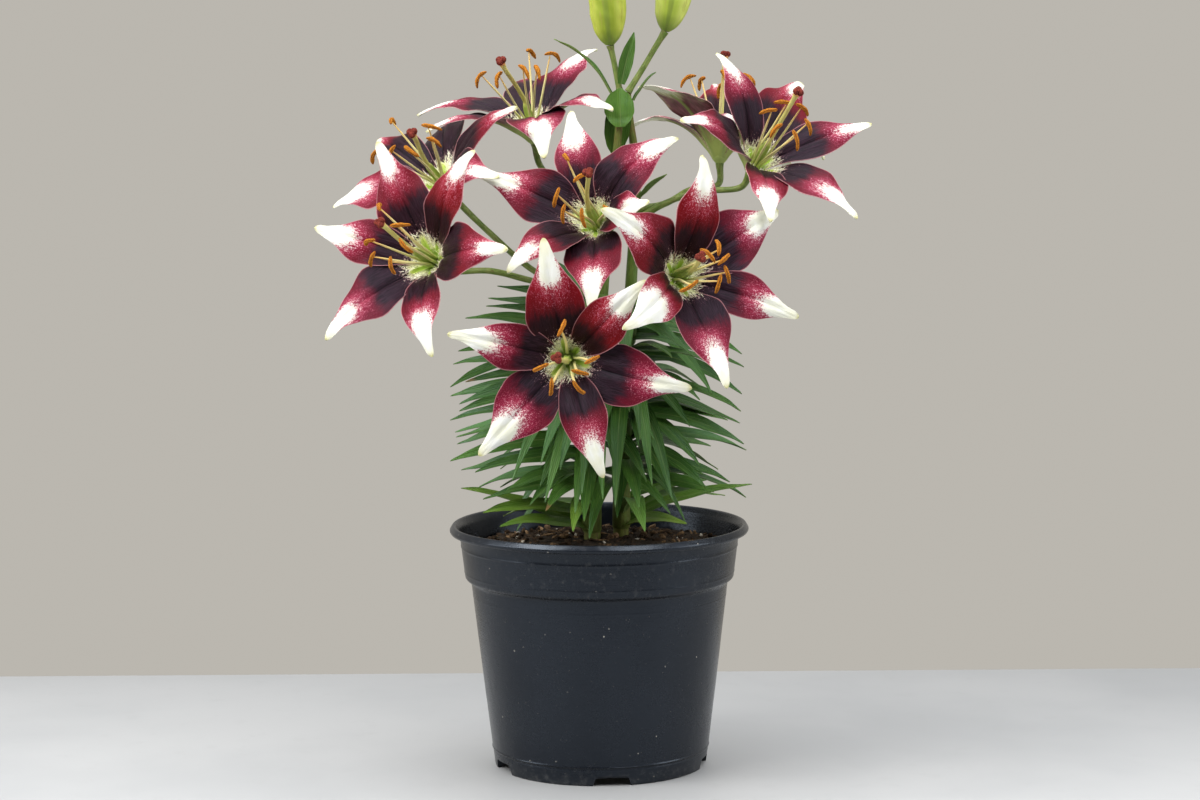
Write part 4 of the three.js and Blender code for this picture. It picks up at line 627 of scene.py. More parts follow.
# ------------------------------------------------------------------ petals
inner_profile, outer_profile = table(INNER_PROFILE), table(OUTER_PROFILE)
petal_cup = table(PETAL_CUP, 0.05)


class Petal:
    """One petal's surface: at(s, v) gives points s of the way along and v across, from -1 to 1."""

    def __init__(self, flower, row, seed):
        name, kind, az, t0, tm, t1, bend, length = row
        self.name, self.inner, self.length, self.seed = name, kind == 'i', length, seed
        self.a, e1, e2 = flower_frame(flower['ax'])
        c, phi, n = np.array(flower['c'], float), math.radians(az), 240
        u = math.cos(phi) * e1 + math.sin(phi) * e2
        w = np.cross(self.a, u)
        s = (np.arange(n) + 0.5) / n
        th = np.radians(t0 * (1 - s) * (1 - 2 * s) + tm * 4 * s * (1 - s) + t1 * s * (2 * s - 1))[:, None]
        be = np.radians(bend * s)[:, None]
        out = np.cos(be) * u + np.sin(be) * w
        d = np.cos(th) * self.a + np.sin(th) * out
        p = c + 3 * u + np.vstack([np.zeros(3), np.cumsum(d * length / n, axis=0)])
        knots = np.arange(n + 1) / n
        b = np.cos(be) * w - np.sin(be) * u
        self._p = lambda q: np.stack([np.interp(q, knots, p[:, k]) for k in range(3)], -1)
        self._d = lambda q: unit(np.stack([np.interp(q, s, d[:, k]) for k in range(3)], -1))
        self._b = lambda q: unit(np.stack([np.interp(q, s, b[:, k]) for k in range(3)], -1))
        self.white, self.red = WHITE[name]
        r = np.random.default_rng(seed)
        self.ph = r.uniform(0, 2 * np.pi, 8)
        self.twist = r.uniform(-1, 1)
        self.wave = r.uniform(0.7, 1.25)
        self.hook = r.uniform(-1, 1)

    def half(self, s):
        s = np.asarray(s, float)
        prof, w = (inner_profile, INNER_WIDTH) if self.inner else (outer_profile, OUTER_WIDTH)
        cut = 0.925
        t = np.clip((s - cut) / (1 - cut), 0, 1)
        base = w / 2 * prof(np.minimum(s, cut))
        return base * np.sqrt(np.maximum(1 - t ** 2, 0)) * (1 - 0.22 * t) * (1 - 0.27 * smooth(s, 0.60, 0.90))

    def at(self, s, v, side=0.0):
        """side is 1 on the face towards the flower's heart, -1 on the back."""
        s, v = np.broadcast_arrays(np.asarray(s, float), np.asarray(v, float))
        p, d, b = self._p(s), self._d(s), self._b(s)
        n = unit(np.cross(d, b))
        hw = self.half(s)
        x, y = v * hw, s * self.length
        # the margins come and go a little, each in its own way
        edge = np.abs(v) ** 6
        hw2 = hw * (1 + 0.020 * np.sin(y / 3.1 + self.ph[0] + 2 * v) * edge + 0.03 * np.sin(y / 7.3 + self.ph[1] - v) * edge)
        off = petal_cup(s) * v * v * hw
        env = smooth(s, 0.18, 0.42) * (1 - 0.75 * smooth(s, 0.80, 1))
        left, right = np.clip(-v, 0, 1), np.clip(v, 0, 1)
        ruffle = (left ** 3 * (np.sin(y / 5.2 + self.ph[2]) + 0.5 * np.sin(y / 2.6 + self.ph[3]))
                  + right ** 3 * (np.sin(y / 5.6 + self.ph[4]) + 0.5 * np.sin(y / 2.4 + self.ph[5])))
        off = off + 0.85 * self.wave * env * ruffle * (1.0 if self.inner else 0.7)
        off = off + self.twist * 0.06 * x * smooth(s, 0.4, 1)
        # midrib groove, the pads beside it and the fine pleats that run with it
        groove = np.exp(-(x / 1.15) ** 2) * smooth(s, 0.05, 0.2) * (1 - smooth(s, 0.72, 0.96))
        off = off - 0.75 * groove
        off = off + 0.75 * np.exp(-((np.abs(x) - 3.4) / 2.3) ** 2) * smooth(s, 0.1, 0.28) * (1 - smooth(s, 0.6, 0.9))
        off = off + 0.10 * np.cos(2 * np.pi * x / 2.1 + 0.6 * np.sin(y / 9 + self.ph[6])) * env * (1 - edge)
        # nectar furrow: two raised lips near the throat
        lip = np.exp(-((np.abs(x) - 1.35) / 0.62) ** 2) * smooth(s, 0.0, 0.03) * (1 - smooth(y, 13.0, 20.0))
        if side > 0:
            off = off + (0.95 if self.inner else 0.7) * lip
        # tip rolled in at its sides, and the midrib proud on the back
        off = off + smooth(s, 0.84, 1) * 0.35 * v * v * hw
        thick = np.interp(s, [0, 0.3, 0.8, 1], [1.7, 1.15, 0.9, 1.3]) / 2
        th = thick * (1 - 0.70 * v * v)
        if side < 0:
            th = th + 0.55 * np.exp(-(x / 1.2) ** 2) * (1 - 0.5 * s)
        sway = self.hook * 1.2 * smooth(s, 0.86, 1)
        return p + b * (v * hw2 + sway)[..., None] + n * (off + side * th)[..., None]

    def fields(self, s, v):
        hw = self.half(s)
        x, y = v * hw, s * self.length
        reach = (15.0 if self.inner else 11.5) * np.abs(v) ** 1.9 - 1.5
        past = (s - self.white) * self.length - 1.6 - reach + 1.0 * np.sin(y / 3 + self.ph[7])
        dark = smooth(self.white - s, 0.03 + 0.07 * self.red, 0.31 + 0.06 * self.red) * (1 - 0.40 * np.abs(v) ** 3.0)
        dark = dark * (1 - 0.30 * self.red * np.exp(-(x / 5.0) ** 2) * smooth(s, 0.25, 0.45))
        edge = (1 - np.abs(v)) * hw
        base = (16.0 if self.inner else 12.8) - y - 1.5 * np.abs(v) ** 2
        one = np.ones_like(s)
        flat = lambda *c: np.stack([np.ravel(k) for k in c], -1)
        return dict(ta=flat(x, y, one * self.seed * 7.31), tb=flat(s, past, edge), tc=flat(dark, one * self.red, one * (self.seed * 0.618 % 1)),
                    td=flat(base, one * float(self.inner), np.abs(v)))


def petal_mesh(bag, petal, nu=52, nv=21):
    x = np.linspace(0, 1, nu)
    s1 = 1 - (1 - x) ** 1.3
    v1 = np.sin(np.linspace(-1, 1, nv) * np.pi / 2 * 0.86) / math.sin(np.pi / 2 * 0.86)
    s, v = np.meshgrid(s1, v1, indexing='ij')
    front, back = petal.at(s, v, 1.0), petal.at(s, v, -1.0)
    f = petal.fields(s, v)
    n = nu * nv
    quads = [grid(nu, nv, flip=True), grid(nu, nv, start=n)]
    mats = [np.zeros(len(quads[0]), int), np.ones(len(quads[1]), int)]
    i = np.arange(nu - 1)
    for j, turn in ((0, False), (nv - 1, True)):
        q = np.stack([i * nv + j, (i + 1) * nv + j, n + (i + 1) * nv + j, n + i * nv + j], -1)
        quads.append(q if turn else q[:, ::-1])
        mats.append(np.full(len(q), 2))
    j = np.arange(nv - 1)
    for row, turn in ((0, True), (nu - 1, False)):
        q = np.stack([row * nv + j, row * nv + j + 1, n + row * nv + j + 1, n + row * nv + j], -1)[:, ::-1 if not turn else 1]
        quads.append(q)
        mats.append(np.full(len(q), 2))
    both = {k: np.vstack([a, a]) for k, a in f.items()}
    bag.add(np.vstack([front.reshape(-1, 3), back.reshape(-1, 3)]), np.vstack(quads), mat=np.concatenate(mats), **both)


def spikes(bag, p, way, length, radius, tb, mat=0, seed=0):
    """Small soft cones, each bent a little."""
    r = np.random.default_rng(seed)
    m, k = len(p), 4
    way = unit(way)
    ref = unit(np.cross(way, r.normal(size=(m, 3))))
    ref2 = np.cross(way, ref)
    bend = r.uniform(-0.35, 0.35, (m, 1))
    hs = np.array([0, 0.4, 0.8])
    rs = np.array([1.0, 0.75, 0.42])
    a = 2 * np.pi * np.arange(k) / k
    v = []
    for h, q in zip(hs, rs):
        c = p + way * (length[:, None] * h) + ref * (bend * length[:, None] * h * h)
        v.append(c[:, None] + (radius * q)[:, None, None] * (np.cos(a)[None, :, None] * ref[:, None] + np.sin(a)[None, :, None] * ref2[:, None]))
    tip = (p + way * length[:, None] + ref * (bend * length[:, None]))[:, None]
    v = np.concatenate(v + [tip], axis=1)          # m, 13, 3
    per = 3 * k + 1
    q = []
    for lvl in range(2):
        for j in range(k):
            q.append([lvl * k + j, lvl * k + (j + 1) % k, (lvl + 1) * k + (j + 1) % k, (lvl + 1) * k + j])
    t = [[2 * k + j, 2 * k + (j + 1) % k, 3 * k] for j in range(k)]
    base = (np.arange(m) * per)[:, None, None]
    q = (np.array(q)[None] + base).reshape(-1, 4)
    t = (np.array(t)[None] + base).reshape(-1, 3)
    h = np.tile(np.concatenate([np.repeat(hs, k), [1.0]]), m)
    rnd = np.repeat(r.uniform(0, 1, m), per)
    bag.add(v.reshape(-1, 3), q, t, mat=mat, ta=np.stack([h, rnd, np.repeat(tb, per)], -1))


def papillae(bag, petal, seed):
    r = np.random.default_rng(seed)
    m = 34 if petal.inner else 25
    reach = 17.0 if petal.inner else 13.8
    y = 3.0 + (reach - 3.0) * r.uniform(0, 1, m) ** 0.55
    s = y / petal.length
    hw = petal.half(s)
    side = np.sign(r.uniform(-1, 1, m))
    x = side * np.clip(1.5 + np.abs(r.normal(0, 1.0, m)) * (0.9 + 0.16 * y), 1.5, None)
    v = np.clip(x / hw, -0.9, 0.9)
    p = petal.at(s, v, 1.0)
    d, b = petal._d(s), petal._b(s)
    n = unit(np.cross(d, b))
    far = (y - 3) / (reach - 3)
    way = n * (0.75 - 0.45 * far[:, None]) * r.uniform(0.7, 1.2, (m, 1)) + d * (0.35 + 0.75 * far[:, None]) * r.uniform(0.6, 1.2, (m, 1)) + b * r.uniform(-0.5, 0.5, (m, 1))
    length = r.uniform(1.6, 3.4, m) * (0.80 + 0.65 * far * r.uniform(0.3, 1.0, m))
    spikes(bag, p - n * 0.2, way, length, r.uniform(0.22, 0.40, m), far, mat=3, seed=seed)


def make_petal_materials():
    # front: ivory tip, speckled crimson, near black heart with a soft blue sheen (a blue specular tint, and a painted
    # sheen in its colour), cream and green throat
    m = Mat('petal_front', Roughness=0.45, Specular_IOR_Level=0.11, Specular_Tint=(0.75, 0.82, 1.0, 1))
    x, y, seed = m.attr('ta')
    s, past, edge = m.attr('tb')
    dark, red, rnd = m.attr('tc')
    base, inner, av = m.attr('td')
    streak = m.noise(m.vec(x, m.mul(y, 0.13), seed), 0.9, 3, 0.55)
    streak2 = m.noise(m.vec(x, m.mul(y, 0.07), m.add(seed, 31.0)), 2.3, 3, 0.6)
    grain = m.noise(m.vec(x, m.mul(y, 0.62), m.add(seed, 9.0)), 2.0, 3, 0.7)
    grain2 = m.noise(m.vec(x, m.mul(y, 0.5), m.add(seed, 19.0)), 1.15, 3, 0.65)
    dots = m.noise(m.vec(x, m.mul(y, 0.8), m.add(seed, 57.0)), 3.2, 2, 0.6)
    blot = m.noise(m.vec(m.mul(x, 0.16), m.mul(y, 0.10), seed), 1.0, 3, 0.5)
    sc, gc, g2, bc = (m.op('SUBTRACT', q, 0.5) for q in (streak, grain, grain2, blot))
    # crimson below the tip, pinker where the speckle thins out
    low = m.mix(m.rng(red, 0, 1), (0.100, 0.0036, 0.0125), (0.135, 0.0020, 0.0026))
    high = m.mix(m.rng(red, 0, 1), (0.245, 0.0125, 0.0400), (0.265, 0.0090, 0.0160))
    crimson = m.mix(m.rng(m.add(past, m.mul(sc, 10.0)), -16.0, -2.0), low, high)
    crimson = m.mix(m.mul(m.rng(grain, 0.50, 0.72), m.rng(past, -22.0, -4.0, 0.15, 0.9)), crimson, (0.470, 0.110, 0.170))
    # the heart's dark purple pigment, its blue cast a painted sheen
    ink_with_painted_sheen = m.mix(m.rng(streak2, 0.35, 0.66), (0.0080, 0.0032, 0.0056), (0.0300, 0.0130, 0.0225))
    ink_with_painted_sheen = m.mix(m.mul(red, 0.85), ink_with_painted_sheen, (0.0150, 0.0010, 0.0011))
    ink_with_painted_sheen = m.mix(m.mul(m.rng(m.op('ABSOLUTE', x), 0.15, 0.75, 1.0, 0.0), 0.7), ink_with_painted_sheen, (0.0035, 0.0014, 0.0022))
    shade = m.rng(m.add(dark, m.mul(sc, 0.55), m.mul(bc, 0.7), m.mul(gc, 0.16)), 0.06, 0.74)
    col = m.mix(shade, crimson, ink_with_painted_sheen)
    # margin line
    col = m.mix(m.mul(m.rng(edge, 0.12, 0.55, 1.0, 0.0), 0.60), col, (0.50, 0.22, 0.24))
    # throat: cream with purple freckles, a green furrow, green at its bottom
    rag = m.add(g2, m.mul(gc, 0.9), m.mul(m.op('SUBTRACT', dots, 0.5), 0.5), m.mul(sc, 0.3))
    near = m.add(base, m.mul(rag, m.rng(base, -9.0, 3.0, 34.0, 15.0, kind='LINEAR')))
    heart = m.mul(m.rng(near, -0.8, 0.8), m.rng(base, -11.0, -7.0))
    cream = m.mix(m.rng(streak, 0.38, 0.62), (0.76, 0.78, 0.42), (0.88, 0.87, 0.70))
    cream = m.mix(m.rng(base, 4.0, 12.0), cream, m.mix(m.rng(grain, 0.4, 0.6), (0.68, 0.74, 0.28), (0.86, 0.87, 0.52)))
    cream = m.mix(m.rng(base, 1.0, -3.5), cream, (0.76, 0.62, 0.55))
    speck = m.rng(m.add(dots, m.mul(gc, 0.7), m.rng(base, 10.0, 0.0, -0.10, 0.06)), 0.56, 0.61)
    throat = m.mix(m.mul(speck, m.rng(base, 16.0, 7.0), 0.9), cream, (0.105, 0.014, 0.040))
    col = m.mix(heart, col, throat)
    furrow = m.mul(m.rng(m.op('ABSOLUTE', x), 1.1, 2.1, 1.0, 0.0), m.rng(m.add(base, m.mul(gc, 5.0)), 0.5, 4.0))
    col = m.mix(furrow, col, m.mix(m.rng(y, 6.0, 19.0), (0.36, 0.52, 0.070), (0.70, 0.73, 0.220)))
    col = m.mix(m.rng(y, 7.0, 2.0), col, (0.30, 0.44, 0.075))
    # ivory tip: it thins into grains of pink over a centimetre
    edge_in = m.rng(m.add(past, m.mul(sc, 6.0)), -14.5, 3.5, kind='LINEAR')
    grit = m.add(m.mul(gc, 1.35), m.mul(g2, 1.15), m.mul(m.op('SUBTRACT', dots, 0.5), 1.2))
    loose = m.rng(edge_in, 0.0, 1.0, 2.1, 0.45, kind='LINEAR')
    cover = m.mul(m.rng(m.add(m.mul(edge_in, 1.10), m.mul(grit, loose)), 0.68, 0.84), m.rng(edge_in, 0.0, 0.18))
    haze = m.rng(m.add(edge_in, m.mul(g2, 0.9)), 0.30, 1.0, 0.0, 0.45)
    blush = m.mix(m.rng(edge_in, 0.30, 0.80), (0.50, 0.17, 0.24), (0.74, 0.64, 0.60))
    ivory = m.mix(m.rng(blot, 0.35, 0.65), (0.735, 0.740, 0.700), (0.70, 0.70, 0.58))
    ivory = m.mix(m.mul(m.rng(streak2, 0.50, 0.75), 0.28), ivory, (0.59, 0.57, 0.42))
    ivory = m.mix(m.mul(m.rng(m.add(s, m.mul(sc, 0.12)), 0.84, 0.97), 0.60), ivory, (0.66, 0.64, 0.45))
    ivory = m.mix(m.mul(m.rng(s, 0.955, 0.996), 0.75), ivory, (0.47, 0.44, 0.15))
    col = m.mix(m.mul(haze, 0.75), col, (0.46, 0.115, 0.185))
    tipc = m.mix(m.rng(edge_in, 0.55, 0.98), blush, ivory)
    col = m.mix(cover, col, tipc)
    rough = m.add(m.rng(streak2, 0.3, 0.7, 0.36, 0.50), m.mul(cover, 0.08))
    h = m.add(m.mul(streak2, 0.9), m.mul(streak, 0.5), m.mul(grain, 0.22))
    m.set(Base_Color=col, Roughness=rough, Normal=m.bump(h, 0.00034, 0.75))
    front = m.m

    # back: pale green cream with a maroon flush, a green midrib and an ivory tip
    m = Mat('petal_back', Roughness=0.5, Specular_IOR_Level=0.25)
    x, y, seed = m.attr('ta')
    s, past, edge = m.attr('tb')
    dark, red, rnd = m.attr('tc')
    streak = m.noise(m.vec(x, m.mul(y, 0.12), m.add(seed, 3.0)), 1.1, 4, 0.6)
    blot = m.noise(m.vec(m.mul(x, 0.2), m.mul(y, 0.12), m.add(seed, 5.0)), 1.0, 3, 0.55)
    sc, bc = m.op('SUBTRACT', streak, 0.5), m.op('SUBTRACT', blot, 0.5)
    pale = m.mix(m.rng(streak, 0.35, 0.65), (0.42, 0.40, 0.17), (0.60, 0.56, 0.34))
    flush = m.rng(m.add(m.mul(dark, 1.1), m.rng(past, -24.0, -9.0, 0.0, 0.30), m.mul(bc, 1.0), m.mul(sc, 0.9)), -0.16, 0.36)
    flush = m.mul(flush, m.rng(past, -3.0, -9.0))
    col = m.mix(m.mul(flush, 0.92), pale, m.mix(m.rng(streak, 0.36, 0.64), (0.085, 0.009, 0.026), (0.190, 0.026, 0.060)))
    col = m.mix(m.rng(m.add(y, m.mul(sc, 16.0)), 25.0, 8.0), col, (0.36, 0.42, 0.11))
    col = m.mix(m.mul(m.rng(m.op('ABSOLUTE', x), 0.6, 1.9, 1.0, 0.0), 0.75), col, (0.29, 0.36, 0.10))
    col = m.mix(m.rng(m.add(past, m.mul(sc, 22.0)), -6.0, 5.0), col, (0.80, 0.79, 0.62))
    col = m.mix(m.mul(m.rng(s, 0.95, 0.995), 0.7), col, (0.50, 0.56, 0.20))
    h = m.add(m.mul(streak, 0.8), m.mul(blot, 0.3))
    m.set(Base_Color=col, Normal=m.bump(h, 0.00035, 0.7))
    back = m.m

    # rim: the thin pale line along a petal's edge
    m = Mat('petal_rim', Roughness=0.5, Specular_IOR_Level=0.25)
    x, y, seed = m.attr('ta')
    s, past, edge = m.attr('tb')
    g = m.noise(m.vec(x, y, seed), 0.9, 3, 0.6)
    col = m.mix(m.rng(g, 0.35, 0.65), (0.42, 0.17, 0.19), (0.70, 0.46, 0.44))
    col = m.mix(m.rng(past, -6.0, 4.0), col, (0.84, 0.83, 0.70))
    m.set(Base_Color=col)
    rim = m.m

    # papillae: soft bristles round the throat, cream with pink tips further out
    m = Mat('papillae', Roughness=0.42)
    h, r1, far = m.attr('ta')
    base = m.mix(m.rng(far, 0.1, 0.9), (0.72, 0.78, 0.34), (0.92, 0.90, 0.70))
    top = m.mix(m.rng(m.add(far, m.mul(r1, 0.6)), 1.05, 1.50), (0.93, 0.91, 0.72), (0.60, 0.22, 0.26))
    col = m.mix(m.rng(h, 0.2, 0.9), base, top)
    m.set(Base_Color=col)
    return [front, back, rim, m.m]


petal_mats = make_petal_materials()
PETALS = {}
for k, (key, f) in enumerate(FLOWERS.items()):
    bag = Bag()
    for i, row in enumerate(f['tepals']):
        q = Petal(f, row, 10 * k + i + 1)
        PETALS[row[0]] = q
        petal_mesh(bag, q)
        papillae(bag, q, 500 + 10 * k + i)
    # the receptacle that the petals spring from
    c, a = np.array(f['c'], float), unit(f['ax'])
    path = c + a * np.linspace(-2.6, 2.6, 12)[:, None]
    tube(bag, path, np.interp(np.linspace(0, 1, 12), [0, 0.2, 0.5, 1], [2.3, 3.2, 4.6, 4.9]), sides=36, mat=1,
         shape=lambda t, g: 1 + 0.05 * np.cos(6 * g))
    bag.a['ta'][-1] = np.tile([0.5, 2.0, 1.0], (len(bag.v[-1]), 1))
    bag.a['tb'][-1] = np.tile([0.02, -40.0, 3.0], (len(bag.v[-1]), 1))
    bag.build(f'{key}_flower_petals', petal_mats, [f'flower_{key}_petals'])

# ------------------------------------------------------------------ stamens and pistils
def make_heart_materials():
    m = Mat('filament', Roughness=0.42)
    t, z, a = m.attr('tb')
    u, y, seed = m.attr('ta')
    g = m.noise(m.vec(u, m.mul(y, 0.3), seed), 1.4, 3, 0.6)
    col = m.mix(m.rng(t, 0.05, 0.75), (0.42, 0.53, 0.14), (0.74, 0.66, 0.30))
    col = m.mix(m.rng(t, 0.72, 1.0), col, (0.80, 0.52, 0.16))
    col = m.mix(m.mul(m.rng(g, 0.5, 0.7), 0.3), col, (0.62, 0.30, 0.14))
    m.set(Base_Color=col, Normal=m.bump(g, 0.0002, 0.5))
    filament = m.m
    m = Mat('anther', Roughness=0.9, Specular_IOR_Level=0.1)
    p = m.place()
    g = m.noise(p, 2.2, 3, 0.7)
    c = m.cells(p, 3.2)
    u, y, seed = m.attr('ta')
    t, z, a = m.attr('tb')
    groove = m.rng(m.op('COSINE', m.mul(a, 2.0)), 0.75, 1.0)
    col = m.mix(m.rng(g, 0.38, 0.62), (0.250, 0.062, 0.008), (0.640, 0.250, 0.022))
    col = m.mix(m.mul(groove, 0.75), col, (0.150, 0.034, 0.008))
    col = m.mix(m.mul(m.rng(m.op('ABSOLUTE', m.add(t, -0.5)), 0.30, 0.50), 0.65), col, (0.210, 0.048, 0.010))
    col = m.mix(m.rng(c, 0.0, 0.5, 0.45, 0.0), col, (0.90, 0.50, 0.10))
    m.set(Base_Color=col, Normal=m.bump(m.add(g, m.mul(c, -0.8)), 0.00045, 0.9))
    anther = m.m
    m = Mat('style', Roughness=0.38)
    u, y, seed = m.attr('ta')
    t, z, a = m.attr('tb')
    g = m.noise(m.vec(u, m.mul(y, 0.25), seed), 1.2, 3, 0.6)
    col = m.mix(m.rng(t, 0.25, 0.5), (0.26, 0.36, 0.06), (0.56, 0.52, 0.16))
    col = m.mix(m.rng(t, 0.80, 0.97), col, (0.62, 0.26, 0.10))
    col = m.mix(m.mul(m.rng(g, 0.5, 0.72), 0.35), col, (0.40, 0.16, 0.09))
    m.set(Base_Color=col, Normal=m.bump(g, 0.0002, 0.5))
    style = m.m
    m = Mat('stigma', Roughness=0.7, Specular_IOR_Level=0.12)
    p = m.place()
    g = m.noise(p, 1.6, 3, 0.7)
    c = m.cells(p, 2.6)
    x1, y1, z1 = m.attr('ta')
    col = m.mix(m.rng(g, 0.35, 0.65), (0.085, 0.010, 0.012), (0.27, 0.042, 0.026))
    col = m.mix(m.rng(c, 0.1, 0.45, 0.45, 0.0), col, (0.50, 0.17, 0.075))
    m.set(Base_Color=col, Normal=m.bump(m.add(g, m.mul(c, -1.0)), 0.0005, 1.0))
    return filament, anther, style, m.m


filament_mat, anther_mat, style_mat, stigma_mat = make_heart_materials()
FILAMENT_LENGTH, ANTHER_LENGTH, STYLE_LENGTH = 47.0, 11.0, 57.0
for k, (key, f) in enumerate(FLOWERS.items()):
    a, e1, e2 = flower_frame(f['ax'])
    c = np.array(f['c'], float)
    bag = Bag()
    for i, (az, spread) in enumerate(f['stamens']):
        r = np.random.default_rng(900 + 10 * k + i)
        phi, sp = math.radians(az), math.radians(spread)
        u = math.cos(phi) * e1 + math.sin(phi) * e2
        w = np.cross(a, u)
        p0 = c + a * 1.6 + u * 3.0
        p1 = c + a * 9 + u * (3.0 + 0.8)
        tip = c + a * (3 + FILAMENT_LENGTH * math.cos(sp)) + u * FILAMENT_LENGTH * math.sin(sp)
        mid = (p0 + tip) / 2 + a * FILAMENT_LENGTH * math.sin(sp) * 0.16 + w * r.uniform(-0.8, 0.8)
        path = spline([p0, p1, mid, tip], np.linspace(0, 1, 24))
        tube(bag, path, np.interp(np.linspace(0, 1, 24), [0, 0.15, 0.85, 1], [1.05, 0.92, 0.62, 0.34]), sides=9, seed=i + 10 * k, mat=0,
             shape=lambda t, g: 1 + 0.10 * np.cos(2 * g))
        # the anther hangs by its middle across the filament's end, bowed, with two fat lobes each side
        along = unit(u * math.cos(sp) * 0.86 - a * (math.sin(sp) * 0.86 + 0.35) + w * r.uniform(-0.45, 0.45))
        up = unit(a - along * (a @ along))
        g = np.sin(np.linspace(-1, 1, 25) * np.pi / 2)
        length = ANTHER_LENGTH * r.uniform(0.90, 1.08)
        mids = tip + along * (1.9 + g[:, None] * length / 2) + up * ((1 - g[:, None] ** 2) * r.uniform(1.4, 3.2) - 0.9) + w * (r.uniform(-1, 1) * g[:, None] ** 2)
        rad_ = 1.30 * np.sqrt(np.maximum(1 - np.abs(g) ** 2.6, 0)) * (1 - 0.10 * g) * (1 + 0.16 * np.sin(6 * g + i) * np.cos(2.2 * g + 1.7 * i)) + 0.05
        tube(bag, mids, rad_, sides=15, seed=i + 3.0, mat=1, shape=lambda t, q: (1 - 0.20 * np.abs(np.cos(q)) ** 8) * (1 + 0.16 * np.cos(2 * q)) * (1 + 0.05 * np.sin(9 * t * 6.28 + 3 * q)))
    bag.build(f'{key}_flower_stamens', [filament_mat, anther_mat], [f'flower_{key}_stamens'])

    bag = Bag()
    az, spread = f['style']
    phi, sp = math.radians(az), math.radians(spread)
    u = math.cos(phi) * e1 + math.sin(phi) * e2
    end, top = STYLE_LENGTH * math.sin(sp), 3 + STYLE_LENGTH * math.cos(sp)
    at = lambda h, off: c + a * h + u * off
    pts = [at(1.8, 0), at(12, end * 0.02), at(20, end * 0.06), at(23, end * 0.09), at(top * 0.65, end * 0.42), at(top - 6, end * 0.86), at(top - 2.2, end * 0.96), at(top - 0.6, end)]
    t = np.linspace(0, 1, 58)
    tube(bag, spline(pts, t), np.interp(t, [0, 1 / 7, 2 / 7, 3 / 7, 4 / 7, 5 / 7, 6 / 7, 1], [2.1, 2.35, 2.1, 1.3, 1.2, 1.3, 1.75, 2.3]), sides=24, seed=k, mat=0,
         shape=lambda t, g: 1 + (0.13 * (1 - smooth(t, 0.3, 0.4)) * np.cos(6 * g)) + 0.05 * np.cos(3 * g))
    # the stigma: three swollen lobes with a groove between them
    tip, ax = at(top - 0.6, end), unit(a + u * math.tan(sp))
    e = unit(np.cross(ax, e1))
    e3 = np.cross(ax, e)
    th = np.linspace(0, np.pi, 20)
    g = np.linspace(0, 2 * np.pi, 42, endpoint=False)
    T, G = np.meshgrid(th, g, indexing='ij')
    lobes = 0.58 + 0.42 * np.abs(np.cos(1.5 * G)) ** 0.75
    rr = 3.35 * np.sin(T) ** 0.8 * lobes
    hh = 2.1 * np.cos(T) - 0.9 * np.exp(-(rr / 1.2) ** 2) * (T < 1.2) * 1.0 + 0.5
    wob = 0.14 * noise(np.stack([rr * np.cos(G), rr * np.sin(G), hh], -1).reshape(-1, 3) * 1.6, 77, 2).reshape(T.shape)
    pos = tip + ax * (hh + wob + 0.6)[..., None] + e * ((rr + wob) * np.cos(G))[..., None] + e3 * ((rr + wob) * np.sin(G))[..., None]
    bag.add(pos.reshape(-1, 3), grid(20, 42, wrap=True, flip=True), mat=1, ta=(0, 0, 0.1))
    bag.build(f'{key}_flower_pistil', [style_mat, stigma_mat], [f'flower_{key}_pistil'])

